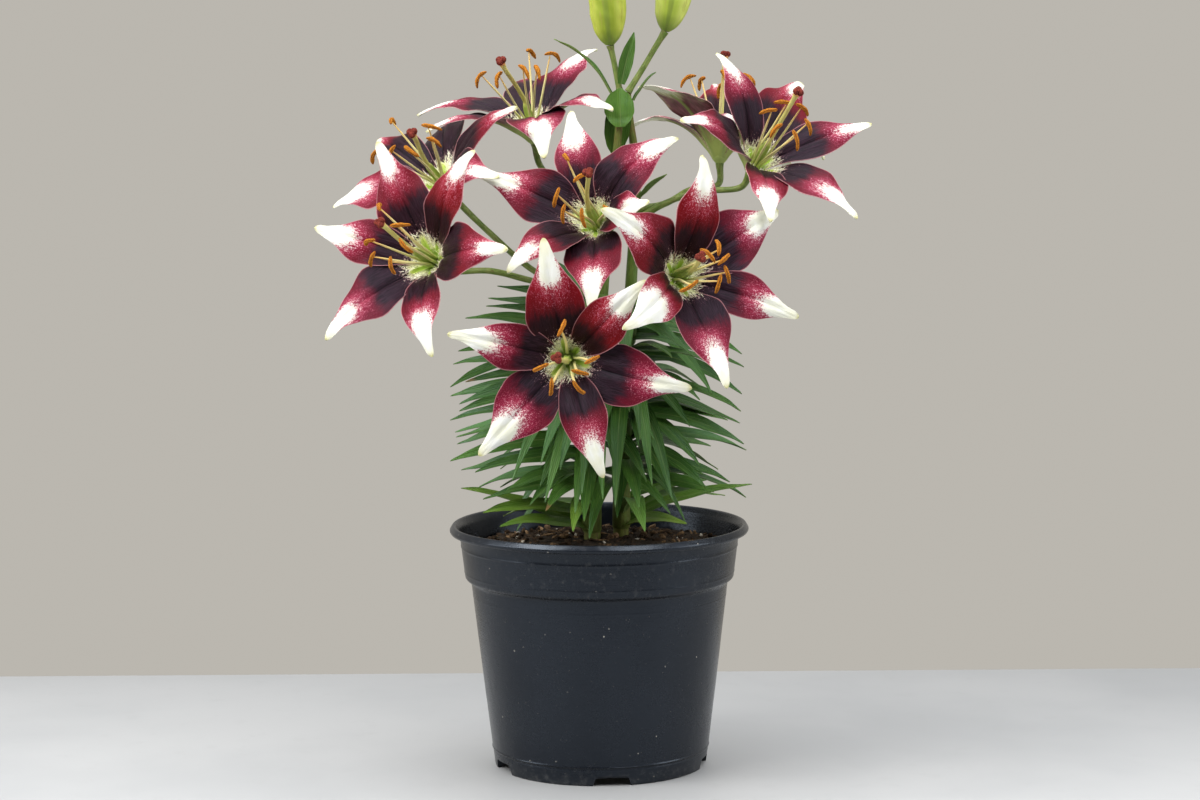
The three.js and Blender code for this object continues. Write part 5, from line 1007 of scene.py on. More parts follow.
# ------------------------------------------------------------------ stems, stalks and buds
def make_green_materials():
    # stem: olive and yellow brown low down, green above, brown again where the buds' stalks leave
    m = Mat('stem_skin', Roughness=0.48, Specular_IOR_Level=0.22)
    u, along, seed = m.attr('ta')
    t, z, a = m.attr('tb')
    fine = m.noise(m.vec(u, m.mul(along, 0.12), seed), 1.5, 4, 0.65)
    blot = m.noise(m.vec(m.mul(u, 0.4), m.mul(along, 0.12), seed), 0.9, 3, 0.6)
    low = m.mix(m.rng(blot, 0.35, 0.68), (0.115, 0.105, 0.022), (0.145, 0.165, 0.030))
    mid = m.mix(m.rng(blot, 0.35, 0.68), (0.085, 0.150, 0.022), (0.130, 0.190, 0.035))
    high = m.mix(m.rng(blot, 0.35, 0.65), (0.120, 0.150, 0.030), (0.150, 0.100, 0.032))
    col = m.mix(m.rng(m.add(z, m.mul(blot, 40.0)), 170.0, 215.0), low, mid)
    col = m.mix(m.rng(m.add(z, m.mul(blot, 30.0)), 330.0, 385.0), col, high)
    col = m.mix(m.rng(fine, 0.52, 0.68, 0.0, 0.65), col, (0.060, 0.026, 0.016))
    col = m.mix(m.rng(fine, 0.30, 0.42, 0.5, 0.0), col, (0.24, 0.26, 0.08))
    m.set(Base_Color=col, Normal=m.bump(m.add(fine, m.mul(blot, 0.6)), 0.00045, 0.8))
    stem = m.m

    # flower stalks: fresher, with a maroon flush on some
    m = Mat('stalk_skin', Roughness=0.45, Specular_IOR_Level=0.25)
    u, along, seed = m.attr('ta')
    t, z, a = m.attr('tb')
    fine = m.noise(m.vec(u, m.mul(along, 0.2), seed), 1.6, 3, 0.6)
    blot = m.noise(m.vec(m.mul(u, 0.5), m.mul(along, 0.2), seed), 0.9, 2, 0.6)
    col = m.mix(m.rng(blot, 0.35, 0.65), (0.105, 0.165, 0.030), (0.190, 0.240, 0.060))
    col = m.mix(m.rng(fine, 0.50, 0.70, 0.0, 0.6), col, (0.110, 0.040, 0.026))
    m.set(Base_Color=col, Normal=m.bump(fine, 0.0003, 0.7))
    stalk = m.m

    # bud: yellow green, paler over the ribs, with a little brown at the tip
    m = Mat('bud_skin', Roughness=0.48, Specular_IOR_Level=0.25)
    u, along, seed = m.attr('ta')
    t, z, a = m.attr('tb')
    fine = m.noise(m.vec(m.mul(m.op('SINE', a), 6.0), m.mul(along, 0.10), m.mul(m.op('COSINE', a), 6.0)), 0.9, 4, 0.6)
    rib = m.op('COSINE', m.mul(m.add(a, m.mul(t, 0.35)), 3.0))
    base = m.mix(m.rng(seed, 0.0, 1.0), (0.240, 0.310, 0.022), (0.330, 0.420, 0.050))
    pale = m.mix(m.rng(seed, 0.0, 1.0), (0.400, 0.450, 0.055), (0.500, 0.570, 0.115))
    col = m.mix(m.rng(m.add(rib, m.mul(fine, 1.2)), -0.2, 1.5), base, pale)
    col = m.mix(m.rng(rib, -1.0, -0.80, 0.65, 0.0), col, (0.160, 0.220, 0.035))
    col = m.mix(m.rng(t, 0.16, 0.0, 0.0, 0.75), col, (0.150, 0.250, 0.040))
    col = m.mix(m.rng(m.add(t, m.mul(fine, 0.10)), 0.90, 1.06, 0.0, 0.85), col, (0.300, 0.150, 0.050))
    col = m.mix(m.mul(m.rng(fine, 0.52, 0.70), 0.30), col, (0.330, 0.230, 0.080))
    m.set(Base_Color=col, Normal=m.bump(fine, 0.0004, 0.8))
    bud = m.m

    # leaf, upper face: deep green with parallel veins and a waxy blue bloom
    m = Mat('leaf_top', Roughness=0.40, Specular_IOR_Level=0.30, Specular_Tint=(0.75, 0.95, 1.0, 1))
    x, y, seed = m.attr('ta')
    s, v, half = m.attr('tb')
    age, rnd, tipbrown = m.attr('tc')
    wide = m.noise(m.vec(m.mul(x, 0.25), m.mul(y, 0.05), seed), 1.0, 3, 0.55)
    streak = m.noise(m.vec(x, m.mul(y, 0.035), seed), 1.3, 3, 0.6)
    fine = m.noise(m.vec(x, m.mul(y, 0.35), seed), 2.2, 3, 0.65)
    vein = m.op('COSINE', m.mul(x, 6.2831853 / 1.05))
    col = m.mix(m.rng(m.add(m.mul(wide, 0.8), m.mul(rnd, 0.35)), 0.35, 0.85), (0.026, 0.080, 0.010), (0.062, 0.155, 0.018))
    col = m.mix(m.rng(streak, 0.50, 0.70, 0.0, 0.40), col, (0.115, 0.200, 0.040))
    col = m.mix(m.rng(vein, 0.55, 1.0, 0.0, 0.22), col, (0.120, 0.210, 0.050))
    col = m.mix(m.mul(m.rng(rnd, 0.62, 1.0), 0.55), col, (0.060, 0.150, 0.050))
    col = m.mix(age, col, m.mix(m.rng(wide, 0.35, 0.65), (0.130, 0.240, 0.016), (0.200, 0.300, 0.034)))
    col = m.mix(m.mul(m.rng(m.op('ABSOLUTE', x), 0.18, 0.55, 1.0, 0.0), m.rng(s, 0.9, 0.3, 0.1, 0.55)), col, (0.160, 0.230, 0.070))
    col = m.mix(m.rng(m.add(s, m.mul(fine, 0.06), m.mul(tipbrown, 0.09)), 1.03, 1.075, 0.0, 0.9), col, (0.180, 0.105, 0.040))
    col = m.mix(m.mul(m.rng(fine, 0.60, 0.74), 0.5), col, (0.030, 0.060, 0.018))
    h = m.add(m.mul(vein, 0.22), m.mul(streak, 0.9), m.mul(fine, 0.22))
    m.set(Base_Color=col, Roughness=m.rng(fine, 0.3, 0.7, 0.30, 0.46), Normal=m.bump(h, 0.00032, 0.75))
    top = m.m

    # leaf, lower face: paler and duller, with a raised midrib
    m = Mat('leaf_under', Roughness=0.55, Specular_IOR_Level=0.22)
    x, y, seed = m.attr('ta')
    s, v, half = m.attr('tb')
    age, rnd, tipbrown = m.attr('tc')
    wide = m.noise(m.vec(m.mul(x, 0.25), m.mul(y, 0.05), seed), 1.0, 3, 0.55)
    streak = m.noise(m.vec(x, m.mul(y, 0.035), seed), 1.3, 3, 0.6)
    vein = m.op('COSINE', m.mul(x, 6.2831853 / 1.05))
    col = m.mix(m.rng(wide, 0.35, 0.65), (0.080, 0.140, 0.034), (0.120, 0.190, 0.050))
    col = m.mix(m.rng(vein, 0.4, 1.0, 0.0, 0.3), col, (0.170, 0.240, 0.080))
    col = m.mix(m.mul(m.rng(rnd, 0.62, 1.0), 0.55), col, (0.060, 0.150, 0.050))
    col = m.mix(age, col, (0.280, 0.310, 0.070))
    col = m.mix(m.rng(m.op('ABSOLUTE', x), 0.25, 0.7, 0.7, 0.0), col, (0.200, 0.260, 0.080))
    m.set(Base_Color=col, Normal=m.bump(m.add(m.mul(vein, 0.4), streak), 0.0003, 0.7))
    under = m.m

    # clasp: the thin skin of the leaf bases that runs down the stem
    m = Mat('leaf_clasp', Roughness=0.48, Specular_IOR_Level=0.22)
    u, along, seed = m.attr('ta')
    t, z, a = m.attr('tb')
    fine = m.noise(m.vec(u, m.mul(along, 0.14), seed), 1.3, 4, 0.65)
    blot = m.noise(m.vec(m.mul(u, 0.4), m.mul(along, 0.12), seed), 0.9, 3, 0.6)
    low = m.mix(m.rng(blot, 0.35, 0.68), (0.110, 0.125, 0.024), (0.130, 0.180, 0.032))
    mid = m.mix(m.rng(blot, 0.35, 0.68), (0.080, 0.150, 0.024), (0.125, 0.200, 0.038))
    col = m.mix(m.rng(m.add(z, m.mul(blot, 40.0)), 170.0, 215.0), low, mid)
    col = m.mix(m.rng(fine, 0.55, 0.70, 0.0, 0.55), col, (0.060, 0.030, 0.018))
    col = m.mix(m.rng(fine, 0.28, 0.42, 0.4, 0.0), col, (0.22, 0.27, 0.08))
    m.set(Base_Color=col, Normal=m.bump(m.add(fine, m.mul(blot, 0.6)), 0.00045, 0.8))
    return stem, stalk, bud, top, under, m.m


stem_mat, stalk_mat, bud_mat, leaf_top_mat, leaf_under_mat, clasp_mat = make_green_materials()


def stem_line(side, n=200, foot=72.0):
    pts = [list(p) for p in STEMS[side]]
    pts[0][2] = foot
    t = np.linspace(0, 1, n)
    return spline(pts, t), np.interp(t, np.linspace(0, 1, len(STEM_RADII[side])), STEM_RADII[side])


def stem_at(side, z):
    p, r = stem_line(side, 400)
    return np.array([np.interp(z, p[:, 2], p[:, k]) for k in range(3)]).T, np.interp(z, p[:, 2], r)


for side in ('left', 'right'):
    bag = Bag()
    k0 = 0 if side == 'left' else 5
    p, r = stem_line(side)
    scars = [row[2][2] for row in LEAVES if row[0] == side]
    rng_ = np.random.default_rng(40 + k0)
    ang = rng_.uniform(0, 2 * np.pi, len(scars))
    n = len(p)
    a = 2 * np.pi * np.arange(26) / 26
    bumps = np.ones((n, 26))
    ribs = rng_.uniform(0, 6.28, 3)
    bumps += 0.022 * np.cos(5 * a[None, :] + ribs[0] + p[:, 2:3] / 60) + 0.014 * np.cos(9 * a[None, :] + ribs[1] - p[:, 2:3] / 45)
    q = np.stack([np.cos(a)[None, :] * 2.1 + 0 * p[:, 2:3], np.sin(a)[None, :] * 2.1 + 0 * p[:, 2:3], p[:, 2:3] / 9 + 0 * a[None, :]], -1).reshape(-1, 3)
    bumps += 0.035 * noise(q, 7 + k0, 3).reshape(n, 26)
    tube(bag, p, r, sides=26, seed=1.0 + k0, mat=0, shape=lambda t, g: bumps)
    # flower and bud stalks, swollen a little where they leave the stem
    for j, key in enumerate([k for k in STALKS if STALKS[k][0] == side]):
        _, p0, mids = STALKS[key]
        f = FLOWERS[key]
        ax, c = unit(f['ax']), np.array(f['c'], float)
        pts = [p0, *mids, c - 14 * ax, c - 2.6 * ax]
        t = np.linspace(0, 1, 70)
        line = spline(pts, t)
        rad_ = np.interp(t, [0, 0.04, 1 / 3, 2 / 3, 0.93, 1], [2.9, 2.3, 1.75, 1.7, 1.95, 2.5])
        tube(bag, line, rad_, sides=20, seed=3.0 + j + k0, mat=1, shape=lambda t, g: 1 + 0.035 * np.cos(3 * g + 5 * t) + 0.02 * np.sin(40 * t + 2 * g))
    for j, key in enumerate([k for k in BUDS if BUDS[k][0] == side]):
        _, p0, mids, base, tip, width = BUDS[key]
        d = unit(np.array(tip, float) - base)
        pts = [p0, *mids, np.array(base) - 0.3 * d]
        t = np.linspace(0, 1, 56)
        tube(bag, spline(pts, t), np.interp(t, [0, 0.08, 0.5, 0.85, 1], [2.2, 1.75, 1.55, 1.75, 2.3]), sides=20, seed=9.0 + j + k0, mat=1,
             shape=lambda t, g: 1 + 0.04 * np.cos(3 * g + 4 * t))
    bag.build(f'{side}_stem', [stem_mat, stalk_mat], [f'stem_{side}'])

for j, (key, (side, p0, mids, base, tip, width)) in enumerate(BUDS.items()):
    bag = Bag()
    t = np.linspace(0, 1, 96)
    b0, b1 = np.array(base, float), np.array(tip, float)
    d = unit(b1 - b0)
    bow = unit(np.cross(d, [0, 1, 0])) * (1.2 if j else -0.9)
    line = b0 + (b1 - b0) * t[:, None] + bow * (np.sin(np.pi * t) ** 2)[:, None]
    prof = table([[0, 0.22], [0.04, 0.5], [0.12, 0.78], [0.25, 0.97], [0.42, 1], [0.58, 0.92], [0.72, 0.76], [0.84, 0.57], [0.93, 0.42], [1, 0.30]], 0.02)
    rad_ = prof(t) * width / 2 * np.where(t > 0.955, np.sqrt(np.maximum(1 - ((t - 0.955) / 0.045) ** 2, 0.0)), 1)
    rad_ = np.maximum(rad_, 0.02)

    def shape(tt, g):
        h = g + 0.35 * tt
        open_ = smooth(tt, 0.02, 0.2)
        seam = np.exp(-((np.mod(h + np.pi / 3, 2 * np.pi / 3) - np.pi / 3) / 0.075) ** 2)
        rib = np.cos(3 * (h - np.pi / 3))
        # the three outer petals meet in furrows, each with a low keel between two shallow channels
        keel = np.exp(-((np.mod(h, 2 * np.pi / 3) - np.pi / 3) / 0.11) ** 2)
        hollow = np.exp(-((np.abs(np.mod(h, 2 * np.pi / 3) - np.pi / 3) - 0.33) / 0.13) ** 2)
        return 1 + open_ * (0.045 * rib - 0.085 * seam + 0.035 * keel - 0.028 * hollow) + 0.008 * np.sin(23 * tt * 6.28 / 3 + 5 * g)

    tube(bag, line, rad_, sides=84, seed=float(j), mat=0, shape=shape)
    bag.build(f'{key}_closed_bud', [bud_mat], [f'bud_{key}'])


# ------------------------------------------------------------------ leaves
leaf_profile, broad_profile = table(LEAF_PROFILE, 0.035), table(BROAD_PROFILE, 0.035)


def leaf_mesh(bag, base, tip, arch, width, roll=0.0, broad=False, seed=1, nu=36, nv=9, mats=(0, 1), age=0.0):
    r = np.random.default_rng(seed)
    b, t = np.array(base, float), np.array(tip, float)
    m = b + (t - b) * 0.45
    m[2] += arch * 1.6
    x = np.linspace(0, 1, nu)
    s = 1 - (1 - x) ** 1.22
    S = s[:, None]
    p = (1 - S) ** 2 * b + 2 * S * (1 - S) * m + S ** 2 * t
    d = unit(2 * (1 - S) * (m - b) + 2 * S * (t - m))
    side = np.cross(d, Z)
    if broad or np.min(np.linalg.norm(side, axis=1)) < 0.25:
        side = np.cross(d, [0, -1, 0])
    side = unit(side)
    length = np.linalg.norm(np.diff(p, axis=0), axis=1).sum()
    tw = r.uniform(-16, 16) if not broad else r.uniform(-5, 5)
    ang = np.radians(roll + tw * s ** 1.6 + 5 * np.sin(5 * s + r.uniform(0, 6)) * (0.3 if broad else 1))[:, None]
    side = side * np.cos(ang) + np.cross(d, side) * np.sin(ang)
    up = unit(np.cross(side, d))
    prof = broad_profile if broad else leaf_profile
    hw = width / 2 * prof(s)
    cut = 0.93
    e = np.clip((s - cut) / (1 - cut), 0, 1)
    hw = np.where(s > cut, width / 2 * prof(np.full_like(s, cut)) * np.sqrt(np.maximum(1 - e, 0)) * (1 - 0.15 * e), hw)
    v = np.linspace(-1, 1, nv)
    V = v[None, :]
    xx = V * hw[:, None]
    yy = s[:, None] * length + 0 * V
    ph = r.uniform(0, 6.28, 4)
    fold = 0.24 * hw[:, None] * np.abs(V) ** 1.35 * (1.0 + 0.35 * math.sin(ph[3]))
    wave = 0.5 * (smooth(s, 0.15, 0.4) * (1 - smooth(s, 0.9, 1)))[:, None] * (np.clip(V, 0, 1) ** 3 * np.sin(yy / 6.1 + ph[0]) + np.clip(-V, 0, 1) ** 3 * np.sin(yy / 6.9 + ph[1]))
    rise = (0.7 * np.sin(yy / 17 + ph[2]) * smooth(s, 0.08, 0.3)[:, None] * (1 - smooth(s, 0.85, 1))[:, None])
    groove = -0.28 * np.exp(-(xx / 0.55) ** 2) * (1 - 0.6 * s[:, None])
    vein = 0.05 * np.cos(2 * np.pi * xx / 1.05) * (1 - np.abs(V) ** 4)
    off = fold + wave + rise + groove + vein
    th = 0.36 * (1 - 0.62 * V ** 2) * (1 - 0.3 * s[:, None])
    keel = 0.40 * np.exp(-(xx / 0.7) ** 2) * (1 - 0.7 * s[:, None])
    P = p[:, None] + side[:, None] * xx[..., None]
    top = P + up[:, None] * (off + th)[..., None]
    low = P + up[:, None] * (off - th - keel)[..., None]
    n = nu * nv
    # side x d runs along +up: rows of v points, so faces of the plain grid look along side x d
    quads = [grid(nu, nv, flip=False), grid(nu, nv, flip=True, start=n)]
    mm = [np.full(len(quads[0]), mats[0]), np.full(len(quads[1]), mats[1])]
    i = np.arange(nu - 1)
    for j, turn in ((0, True), (nv - 1, False)):
        q = np.stack([i * nv + j, (i + 1) * nv + j, n + (i + 1) * nv + j, n + i * nv + j], -1)
        quads.append(q if turn else q[:, ::-1])
        mm.append(np.full(len(q), mats[1]))
    j = np.arange(nv - 1)
    for row, turn in ((0, False), (nu - 1, True)):
        q = np.stack([row * nv + j, row * nv + j + 1, n + row * nv + j + 1, n + row * nv + j], -1)
        quads.append(q[:, ::-1] if not turn else q)
        mm.append(np.full(len(q), mats[1]))
    one = np.ones((nu, nv))
    flat = lambda *c: np.stack([np.ravel(k * one) for k in c], -1)
    ta, tb = flat(xx, yy, seed * 3.7), flat(s[:, None], V, hw[:, None])
    tc = flat(age, r.uniform(), 1.0 if r.uniform() < 0.03 else 0.0)
    two = lambda z: np.vstack([z, z])
    bag.add(np.vstack([top.reshape(-1, 3), low.reshape(-1, 3)]), np.vstack(quads), mat=np.concatenate(mm), ta=two(ta), tb=two(tb), tc=two(tc))


for side in ('left', 'right'):
    rows = [r for r in LEAVES if r[0] == side]
    tiers = max(r[1] for r in rows) + 1
    zs = [[r[2][2] for r in rows if r[1] == t] for t in range(tiers)]
    for t in range(tiers):
        bag = Bag()
        lo = min(zs[0]) - 2.5 if t == 0 else (max(zs[t - 1]) + min(zs[t])) / 2 + 0.15
        hi = max(zs[t]) + 2.5 if t == tiers - 1 else (max(zs[t]) + min(zs[t + 1])) / 2 - 0.15
        n = max(10, int((hi - lo) / 0.8))
        z = np.linspace(lo, hi, n)
        line, rad_ = stem_at(side, z)
        k = np.linspace(0, 1, n)
        lip = 0.55 * np.minimum(1, np.minimum(k, 1 - k) * (hi - lo) / 1.6) ** 0.5 + 0.16
        members = [r for r in rows if r[1] == t]
        a = 2 * np.pi * np.arange(40) / 40
        dd, fx, fy = frames(line)
        skin = np.zeros((n, 40))
        for mrow in members:
            q = np.array(mrow[2], float)
            c, _ = stem_at(side, q[2])
            out = unit(np.array(mrow[3], float) - q)
            out = q - c if np.linalg.norm((q - c)[:2]) > 1 else out
            aa = math.atan2(out @ fy[n // 2], out @ fx[n // 2])
            da = np.angle(np.exp(1j * (a - aa)))
            # each leaf base runs a little way down the stem as a low swelling that fades out below it
            below = np.clip((q[2] - z) / 9.0, -0.35, 1)
            fade = np.where(below > 0, (1 - below) ** 1.5, 1 - (below / 0.35) ** 2)
            skin += 0.55 * fade[:, None] * np.exp(-(da / 0.62) ** 2)[None, :] * np.clip(lip, 0, 1)[:, None]
        skin += 0.07 * np.cos(6 * a + 0.8)[None, :]
        tube(bag, line, 1.0, sides=40, seed=t + (0 if side == 'left' else 20), mat=2, shape=lambda tt, g: rad_[:, None] + lip[:, None] + skin)
        for i, (_, _, base, tip, arch, width, roll) in enumerate(members):
            low = max(0.0, 1 - (base[2] - 132) / 26)
            sd = 1000 + 97 * t + 13 * i + (0 if side == 'left' else 4000)
            rr = np.random.default_rng(sd)
            age = float(np.clip(0.78 * low * rr.uniform(0.5, 1.0) + (0.16 if rr.uniform() < 0.15 else 0.0) * rr.uniform(), 0, 1))
            leaf_mesh(bag, base, tip, arch, width, roll, seed=sd, age=age)
        bag.build(f'{side}_leaves_tier_{t + 1}', [leaf_top_mat, leaf_under_mat, clasp_mat], [f'leaves_{side}_tier_{t + 1}'])

for i, (name, base, tip, arch, width, roll, broad) in enumerate(BRACTS):
    bag = Bag()
    leaf_mesh(bag, base, tip, arch, width, roll, broad, seed=8000 + 31 * i, nu=60, nv=17, age=0.18 if broad else 0.12)
    bag.build(f'{name}_leaf', [leaf_top_mat, leaf_under_mat], [name])
# ------------------------------------------------------------------ pot
POT_PROFILE = [  # radius, height, corner softness
    (0, 0, 0), (25, 0, .8), (27.5, 3.4, .8), (55.5, 3.4, .8), (57.6, 0, .7), (60.4, 0, .9), (61.2, 6.5, 0), (62, 11.6, .8),
    (72.9, 105.7, 1.2), (76.2, 108.1, 1.2), (78.7, 129, 2.0), (80, 133.2, .9), (84.2, 133.8, .5), (85, 135.4, 1.0), (83.2, 138.4, 1.0),
    (81.6, 138.1, .8), (79.4, 135, 1.5), (74.9, 110.1, 1.0), (72.7, 108.1, 1.0), (71.2, 104.3, 1.2), (60.3, 11, 1.2), (59.4, 5.1, .9), (29, 5.1, .8), (26.5, 1.8, .6), (0, 1.8, 0)]
WALL_FEATURES = [(98.0, 0.07, 0.6), (126.2, 0.28, 0.6), (9.6, -0.30, 0.6), (10.8, 0.38, 0.45), (111.6, 0.14, 0.5)]


def soft_profile(rows):
    pts = np.array([r[:2] for r in rows], float)
    out = [pts[0]]
    for i in range(1, len(pts) - 1):
        rad_ = rows[i][2]
        a, b = pts[i - 1] - pts[i], pts[i + 1] - pts[i]
        la, lb = np.linalg.norm(a), np.linalg.norm(b)
        k = min(rad_, 0.42 * la, 0.42 * lb)
        if k < 0.05:
            out.append(pts[i])
            continue
        p, q = pts[i] + a / la * k, pts[i] + b / lb * k
        for t in np.linspace(0, 1, 6):
            out.append((1 - t) ** 2 * p + 2 * t * (1 - t) * pts[i] + t * t * q)
    out.append(pts[-1])
    full = [out[0]]
    for p, q in zip(out, out[1:]):
        n = max(1, int(np.ceil(np.linalg.norm(q - p) / 2.4)))
        ts = list(np.arange(1, n + 1) / n)
        if p[0] > 57 and q[1] - p[1] > 1.0:      # finer rings where the outside wall carries a thin line
            for zf, hgt, wid in WALL_FEATURES:
                ts += [t for t in ((zf + wid * k - p[1]) / (q[1] - p[1]) for k in (-2.4, -1.5, -0.8, -0.35, 0, 0.35, 0.8, 1.5, 2.4)) if 0.004 < t < 0.996]
        last = -1.0
        for t in sorted(ts):
            if (t - last) * np.linalg.norm(q - p) > 0.06:
                full.append(p + (q - p) * t)
                last = t
    return np.array(full)


def make_pot_materials():
    m = Mat('pot_plastic', Roughness=0.32, Specular_IOR_Level=0.40, Specular_Tint=(0.74, 0.85, 1.0, 1))
    p = m.place()
    x, y, z = m.split(p)
    big = m.noise(p, 0.022, 3, 0.5)
    mid = m.noise(p, 0.12, 4, 0.6)
    ang = m.op('ARCTAN2', y, x)
    around = m.mul(ang, 75.0)
    # long faint strokes around and down the wall, the marks of handling
    scratch = m.noise(m.vec(m.mul(around, 0.35), m.mul(z, 0.9), m.mul(z, 0.2)), 1.1, 3, 0.7)
    lines = m.noise(m.vec(m.mul(around, 0.05), m.mul(z, 2.2), 3.0), 1.0, 2, 0.5)
    dustn = m.noise(p, 0.28, 5, 0.68)
    speck = m.cells(p, 0.19)
    speck2 = m.cells(p, 0.55)
    col = m.mix(m.rng(big, 0.35, 0.65), (0.0030, 0.0038, 0.0062), (0.0046, 0.0058, 0.0088))
    dust = m.add(m.mul(m.rng(z, 16.0, 1.0), 0.40), m.mul(m.rng(dustn, 0.45, 0.75), 0.35), m.mul(m.rng(z, 104.0, 110.0, 0.0, 0.18), 1.0))
    col = m.mix(m.mul(m.rng(m.mul(dust, m.add(dustn, 0.35)), 0.20, 0.70), 0.40), col, (0.075, 0.074, 0.072))
    col = m.mix(m.mul(m.rng(speck, 0.12, 0.07), m.rng(mid, 0.57, 0.66), 0.6), col, (0.46, 0.43, 0.37))
    col = m.mix(m.mul(m.rng(speck2, 0.12, 0.07), m.rng(dustn, 0.50, 0.64), 0.5), col, (0.28, 0.25, 0.21))
    col = m.mix(m.mul(m.rng(scratch, 0.66, 0.80), 0.30), col, (0.075, 0.080, 0.088))
    rough = m.add(m.rng(big, 0.3, 0.7, 0.22, 0.28), m.mul(dust, 0.16), m.mul(m.rng(scratch, 0.6, 0.8), 0.12))
    h = m.add(m.mul(scratch, 0.15), m.mul(lines, 0.35), m.mul(mid, 0.5), m.mul(dustn, 0.12))
    m.set(Base_Color=col, Roughness=rough, Normal=m.bump(h, 0.0005, 0.55))
    return m.m


def make_soil_materials():
    m = Mat('potting_mix', Roughness=0.95, Specular_IOR_Level=0.15)
    p = m.place()
    a = m.noise(p, 0.16, 4, 0.6)
    b = m.noise(p, 0.9, 5, 0.7)
    c = m.cells(p, 0.42)
    d = m.cells(p, 1.2)
    col = m.mix(m.rng(b, 0.34, 0.66), (0.0100, 0.0072, 0.0050), (0.052, 0.036, 0.023))
    col = m.mix(m.rng(a, 0.45, 0.66, 0.0, 0.5), col, (0.070, 0.046, 0.028))
    col = m.mix(m.rng(c, 0.25, 0.10, 0.0, 0.5), col, (0.105, 0.068, 0.038))
    col = m.mix(m.rng(d, 0.16, 0.08, 0.0, 0.5), col, (0.17, 0.125, 0.075))
    h = m.add(m.mul(b, 1.0), m.mul(c, -0.5), m.mul(d, -0.35))
    m.set(Base_Color=col, Roughness=m.rng(b, 0.3, 0.7, 0.75, 1.0), Normal=m.bump(h, 0.0016, 1.0))
    soil = m.m
    m = Mat('bark_chip', Roughness=0.85, Specular_IOR_Level=0.15)
    u, v, seed = m.attr('ta')
    p = m.place()
    b = m.noise(p, 1.1, 4, 0.7)
    g = m.noise(m.vec(m.mul(u, 0.6), m.mul(v, 4.0), seed), 1.0, 3, 0.6)
    dark = m.mix(m.rng(g, 0.35, 0.65), (0.020, 0.012, 0.007), (0.060, 0.035, 0.018))
    tan = m.mix(m.rng(g, 0.35, 0.65), (0.125, 0.072, 0.034), (0.270, 0.170, 0.088))
    kind = m.op('FRACT', m.mul(seed, 7.137))
    col = m.mix(m.rng(kind, 0.50, 0.95), dark, tan)
    m.set(Base_Color=col, Normal=m.bump(m.add(b, g), 0.0008, 0.9))
    chip = m.m
    m = Mat('mineral_grain', Roughness=0.8)
    p = m.place()
    b = m.noise(p, 1.6, 4, 0.7)
    col = m.mix(m.rng(b, 0.35, 0.65), (0.34, 0.29, 0.22), (0.66, 0.61, 0.52))
    m.set(Base_Color=col, Normal=m.bump(b, 0.0008, 1.0))
    return soil, chip, m.m


pot_mat = make_pot_materials()
soil_mat, chip_mat, grain_mat = make_soil_materials()

prof = soft_profile(POT_PROFILE)
seg = 200
ang = 2 * np.pi * np.arange(seg) / seg
rr = prof[1:-1, 0][:, None] * np.ones(seg)
zz = prof[1:-1, 1][:, None] * np.ones(seg)
outer_wall = np.arange(len(rr)) < np.argmax(prof[1:-1, 1])
# blow-moulded walls are never quite round or quite straight
out_of_round = 0.22 * np.cos(2 * ang + 0.7) + 0.14 * np.cos(3 * ang + 2.1) + 0.08 * np.cos(5 * ang + 0.3)
flex = out_of_round[None, :] * smooth(zz, 6, 70) + 0.10 * noise(np.stack([np.cos(ang)[None, :] * 6 + 0 * zz, np.sin(ang)[None, :] * 6 + 0 * zz, zz / 16], -1).reshape(-1, 3), 5, 3).reshape(zz.shape) * smooth(zz, 4, 20)
rr = rr + flex * (rr > 45)
for zf, hgt, wid in WALL_FEATURES:
    rr = rr + (hgt * np.exp(-((zz - zf) / wid) ** 2)) * outer_wall[:, None] * (rr > 57)
zz = zz + 0.12 * np.sin(3 * ang + 1.0)[None, :] * smooth(zz, 128, 134)
bag = Bag()
ring = np.stack([rr * np.cos(ang), rr * np.sin(ang), zz], -1)
n = len(rr)
pts = np.vstack([ring.reshape(-1, 3), [[0, 0, 0]], [[0, 0, 1.8]]])
j = np.arange(seg)
k = (j + 1) % seg
tri = np.vstack([np.stack([np.full(seg, n * seg), k, j], -1), np.stack([np.full(seg, n * seg + 1), (n - 1) * seg + j, (n - 1) * seg + k], -1)])
bag.add(pts, grid(n, seg, wrap=True), tri)
pot = bag.build('round_nursery_pot', [pot_mat], ['pot'], sharp=0)

# five drainage notches in the foot
bag = Bag()
for i in range(5):
    a0 = math.radians(-90 + 6 + 72 * i)
    er, et = np.array([math.cos(a0), math.sin(a0), 0]), np.array([-math.sin(a0), math.cos(a0), 0])
    w0, w1, top = 11.5, 9.2, 5.6
    sect = [(-w0, -2), (w0, -2), (w1, top - 1.2), (w1 - 1.3, top), (-w1 + 1.3, top), (-w1, top - 1.2)]
    v = [er * r + et * x + Z * z for r in (55.0, 64.0) for x, z in sect]
    q = [[e, (e + 1) % 6, 6 + (e + 1) % 6, 6 + e] for e in range(6)]
    caps = [[0, 5, 4], [0, 4, 3], [0, 3, 2], [0, 2, 1], [6, 7, 8], [6, 8, 9], [6, 9, 10], [6, 10, 11]]
    bag.add(np.array(v), q, caps)
cutter = bag.build('notch_cutter', [], (), sharp=0, stage=True)
mod = pot.modifiers.new('notches', 'BOOLEAN')
mod.operation, mod.solver, mod.object = 'DIFFERENCE', 'EXACT', cutter
bpy.context.view_layer.update()
deps = bpy.context.evaluated_depsgraph_get()
cut_mesh = bpy.data.meshes.new_from_object(pot.evaluated_get(deps))
pot.modifiers.remove(mod)
if len(cut_mesh.polygons) > 1000:
    pot.data = cut_mesh
bpy.data.objects.remove(cutter)
pot.data.polygons.foreach_set('use_smooth', np.ones(len(pot.data.polygons), bool))
pot.data.set_sharp_from_angle(angle=math.radians(38))

